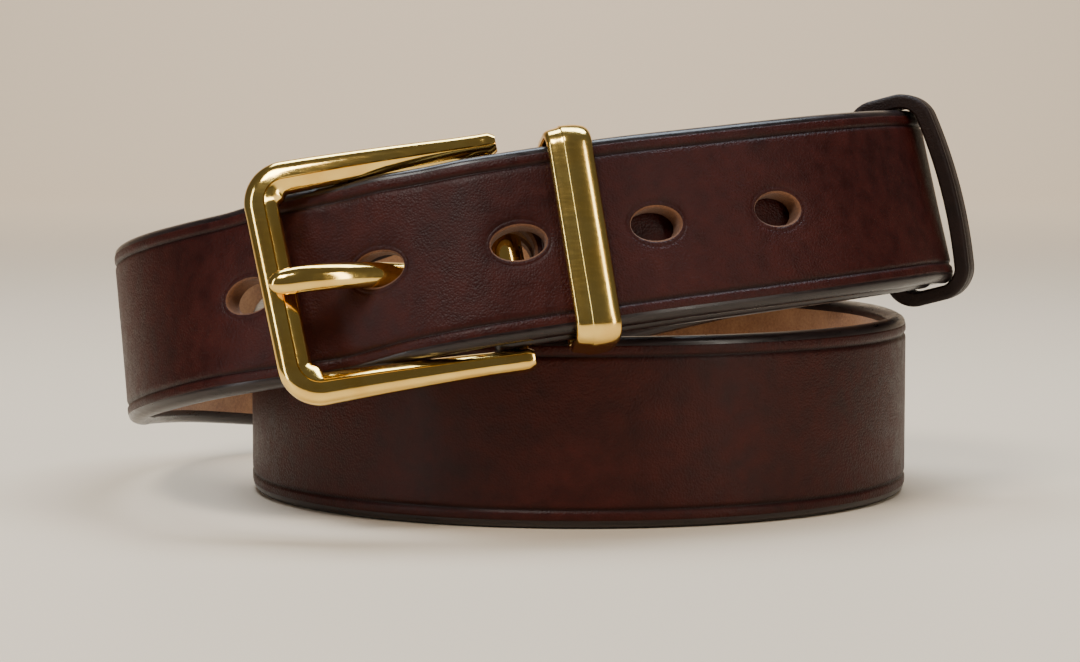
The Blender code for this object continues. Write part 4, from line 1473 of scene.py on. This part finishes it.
@dataclass
class LeatherKeeper:
    """Loose leather keeper that stands off the strap in a bow."""

    route: Route
    turn: float = 0.222
    width: float = 11.0
    thickness: float = 2.8
    slack: float = 1.6
    clearance: float = 0.4
    inner_gap: float = 1.8
    outer_gap: float = 0.6
    corner: float = 2.9

    def seat(self) -> Matrix:
        """Seat of the keeper on the strap."""
        place, along, outward, across = self.route.frame(self.route.distance_of_turn(self.turn))
        return seat_matrix(place, along, outward, across)

    def back(self) -> float:
        """Height of the keeper's inner face behind the strap."""
        return -self.route.plan.thickness / 2 - self.inner_gap

    def profile(self) -> list[tuple[float, float]]:
        """Section of the band, with rubbed corners and a crease near each edge."""
        half, deep, soft = self.width / 2, self.thickness, 0.9
        outside = []
        for i in range(7):
            angle = math.pi / 2 * i / 6
            outside.append((-half + soft * (1 - math.sin(angle)),
                            deep - soft * (1 - math.cos(angle))))
        edge = list(reversed(outside))
        crease = [(-half + 1.9, deep), (-half + 2.1, deep - 0.14), (-half + 2.3, deep)]
        right = [(-x, z) for x, z in reversed(edge + crease)]
        inside = [(half, 0.35), (half - 0.35, 0.0), (0.0, 0.0), (-half + 0.35, 0.0), (-half, 0.35)]
        return [*edge, *crease, (0.0, deep + 0.05), *right, *inside]

    def build(self) -> bpy.types.Object:
        """Bend the band round the two plies."""
        plan = self.route.plan
        distance = self.route.distance_of_turn(self.turn)
        outer = smooth_table(plan.billet_offsets, distance) + plan.thickness / 2
        band = Band(self.back(), outer + self.outer_gap, plan.strap_width / 2 + self.clearance,
                    self.corner, self.slack)
        piece = band.build("leather_strap_keeper", self.seat(), self.profile())
        smooth(piece, 40.0)
        return piece

    def dress(self, piece: bpy.types.Object) -> None:
        """Give the keeper its dark leather."""
        finish = GrainLeather("keeper_grain", (0.007, 0.0024, 0.0016), (0.014, 0.0048, 0.0030),
                              0.36, 0.46)
        piece.data.materials.append(finish.material())
        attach(piece, "leather_keeper")
        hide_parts("leather_keeper")


# ---- thread and staple -------------------------------------------------------------------
@dataclass
class StitchThread:
    """One thread of a lock-stitched row across the chape."""

    route: Route
    name: str
    row_at: float
    needle: bool
    radius: float = 0.35
    pitch: float = 4.8
    holes: int = 6
    hole_length: float = 2.4

    def path(self) -> list[Vector]:
        """Thread's line in the seat of its row: along one face, dipping at each hole."""
        plan = self.route.plan
        top = smooth_table(plan.chape_thicknesses, self.row_at) / 2 - self.radius - 0.1
        bottom = (smooth_table(plan.turn_back_offsets, self.row_at) - plan.skived / 2
                  - self.radius - 0.3)
        middle = (top + bottom) / 2 - 0.5
        face, meeting = (top, middle + 0.7) if self.needle else (bottom, middle - 0.7)
        side = self.hole_length / 2 - self.radius - 0.2
        points = []
        for number in range(self.holes):
            place = (number - (self.holes - 1) / 2) * self.pitch
            points += [Vector((0.0, place - side, face)), Vector((0.0, place, meeting)),
                       Vector((0.0, place + side, face))]
        return points

    def build(self) -> bpy.types.Object:
        """Twist two plies of thread along the line."""
        place, along, outward, across = self.route.frame(self.row_at)
        seat = seat_matrix(place, along, outward, across)
        points = [seat @ point for point in smooth_line(self.path(), 6)]
        side = seat.to_3x3() @ Vector((1, 0, 0))
        seats = seats_on(points, side)

        def outline(number: int) -> list[tuple[float, float]]:
            """Two-lobed section, turned a little further at each station."""
            section = []
            for i in range(10):
                angle = 2 * math.pi * i / 10
                reach = self.radius * (0.82 + 0.18 * math.cos(2 * angle - number * 0.9))
                section.append((reach * math.cos(angle), reach * math.sin(angle)))
            return section

        piece = sweep(f"{self.name}_stitching", seats, outline)
        smooth(piece, 60.0)
        return piece

    def dress(self, piece: bpy.types.Object) -> None:
        """Wax the thread."""
        piece.data.materials.append(WaxedThread(f"{self.name}_wax").material())
        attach(piece, "strap")
        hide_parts(self.name)


@dataclass
class KeeperStaple:
    """Wire staple that closes the keeper behind the strap."""

    keeper: LeatherKeeper
    width: float = 8.0
    wire: float = 0.45
    leg: float = 1.9

    def build(self) -> bpy.types.Object:
        """Bend the wire into its two legs and crown."""
        seat = self.keeper.seat()
        back = self.keeper.back() - self.keeper.thickness
        half, crown, bend = self.width / 2, back - self.wire - 0.05, 0.6
        points = [Vector((0.0, -half, back + self.leg)), Vector((0.0, -half, crown + bend))]
        for step in range(1, 6):
            angle = math.pi + math.pi / 2 * step / 6
            points.append(Vector((0.0, -half + bend + bend * math.cos(angle),
                                  crown + bend + bend * math.sin(angle))))
        points += [Vector((0.0, -half + bend, crown)), Vector((0.0, 0.0, crown))]
        points += [Vector((0.0, -point.y, point.z)) for point in reversed(points[:-1])]
        placed = [seat @ point for point in points]
        side = seat.to_3x3() @ Vector((1, 0, 0))
        piece = sweep("keeper_wire_staple", seats_on(placed, side),
                      lambda _: circle_points(self.wire, 14))
        smooth(piece, 50.0)
        return piece

    def dress(self, piece: bpy.types.Object) -> None:
        """Give the staple its wire finish."""
        piece.data.materials.append(DrawnWire("drawn_staple_wire").material())
        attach(piece, "leather_keeper")
        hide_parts("keeper_staple")


# ---- the studio --------------------------------------------------------------------------
@dataclass(frozen=True)
class Softbox:
    """Rectangular light aimed at the belt."""

    name: str
    place: Triple
    size: tuple[float, float]
    power: float
    colour: Colour
    aim: Triple = (0.0, 0.0, 0.04)

    def build(self) -> None:
        """Hang the light."""
        lamp = bpy.data.lights.new(self.name, "AREA")
        lamp.shape = "RECTANGLE"
        lamp.size, lamp.size_y = self.size
        lamp.energy = self.power
        lamp.color = self.colour
        holder = bpy.data.objects.new(self.name, lamp)
        bpy.context.scene.collection.objects.link(holder)
        holder.location = self.place
        toward = Vector(self.aim) - Vector(self.place)
        holder.rotation_euler = toward.to_track_quat("-Z", "Y").to_euler()


@dataclass
class Studio:
    """Floor, lights and camera."""

    camera_place: Triple = (-0.00058, -0.58484, 0.077)
    camera_down: float = 4.45
    camera_lens: float = 97.47
    floor_reach: float = 3.0
    wall_at: float = 2.4
    wall_height: float = 2.2
    wall_bend: float = 0.6
    sky: Colour = (0.40, 0.38, 0.36)
    sky_strength: float = 0.26
    lights: tuple[Softbox, ...] = (
        Softbox("window_above", (0.05, 0.22, 0.85), (0.9, 0.35), 12.0, (0.78, 0.89, 1.0)),
        Softbox("key_above_left", (-0.35, -0.70, 1.0), (0.4, 0.3), 9.0, (1.0, 0.96, 0.90)),
        Softbox("strip_right", (0.75, -0.65, 0.35), (0.12, 0.8), 3.2, (1.0, 0.93, 0.82)),
        Softbox("strip_left", (-0.80, -0.55, 0.30), (0.10, 0.8), 2.2, (0.95, 0.98, 1.0)),
        Softbox("backdrop_glow", (0.0, 1.3, 1.3), (1.8, 0.4), 26.0, (1.0, 0.98, 0.95),
                (0.0, 2.4, 0.5)),
    )

    def build(self) -> None:
        """Set up everything round the belt."""
        self.floor()
        for light in self.lights:
            light.build()
        self.camera()
        world = bpy.data.worlds.new("studio_air")
        world.use_nodes = True
        air = world.node_tree.nodes["Background"]
        air.inputs["Color"].default_value = (*self.sky, 1.0)
        air.inputs["Strength"].default_value = self.sky_strength
        bpy.context.scene.world = world

    def floor(self) -> None:
        """Lay the floor and curve its far edge up into a backdrop."""
        deselect_all()
        bpy.ops.mesh.primitive_plane_add(size=2 * self.floor_reach)
        piece = bpy.context.active_object
        piece.name = "studio_floor"
        edit(piece, "EDGE")
        shape = bmesh.from_edit_mesh(piece.data)
        for edge in shape.edges:
            if all(vert.co.y > 0 for vert in edge.verts):
                edge.select_set(True)
        bmesh.update_edit_mesh(piece.data)
        bpy.ops.transform.translate(value=(0.0, self.wall_at - self.floor_reach, 0.0))
        bpy.ops.mesh.extrude_region_move(TRANSFORM_OT_translate={"value": (0, 0, self.wall_height)})
        bpy.ops.object.mode_set(mode="OBJECT")
        soften(piece, self.wall_bend / MM, 24)
        smooth(piece, 60.0)
        piece.data.materials.append(PlainFloor().material())

    def camera(self) -> None:
        """Place the camera a little above the belt, looking level and slightly down."""
        lens = bpy.data.cameras.new("front_camera")
        lens.lens = self.camera_lens
        lens.sensor_width = 36.0
        holder = bpy.data.objects.new("front_camera", lens)
        bpy.context.scene.collection.objects.link(holder)
        holder.location = self.camera_place
        holder.rotation_euler = (math.radians(90.0 - self.camera_down), 0.0, 0.0)
        bpy.context.scene.camera = holder


def main() -> None:
    """Build and dress every piece in order."""
    logging.basicConfig(level=logging.INFO, format="%(message)s")
    Studio().build()
    route = Route(RoutePlan())
    buckle = BuckleFrame(route)
    keeper = LeatherKeeper(route)
    makers = [BeltStrap(StrapLine(route)), buckle, BuckleTongue(buckle), BrassLoop(route), keeper,
              KeeperStaple(keeper)]
    for row_name, row_at in STITCH_ROWS:
        makers.append(StitchThread(route, f"{row_name}_needle_thread", row_at, True))
        makers.append(StitchThread(route, f"{row_name}_bobbin_thread", row_at, False))
    for maker in makers:
        piece = maker.build()
        maker.dress(piece)
        LOG.info("%s: %d faces", piece.name, len(piece.data.polygons))


if __name__ == "__main__":
    main()
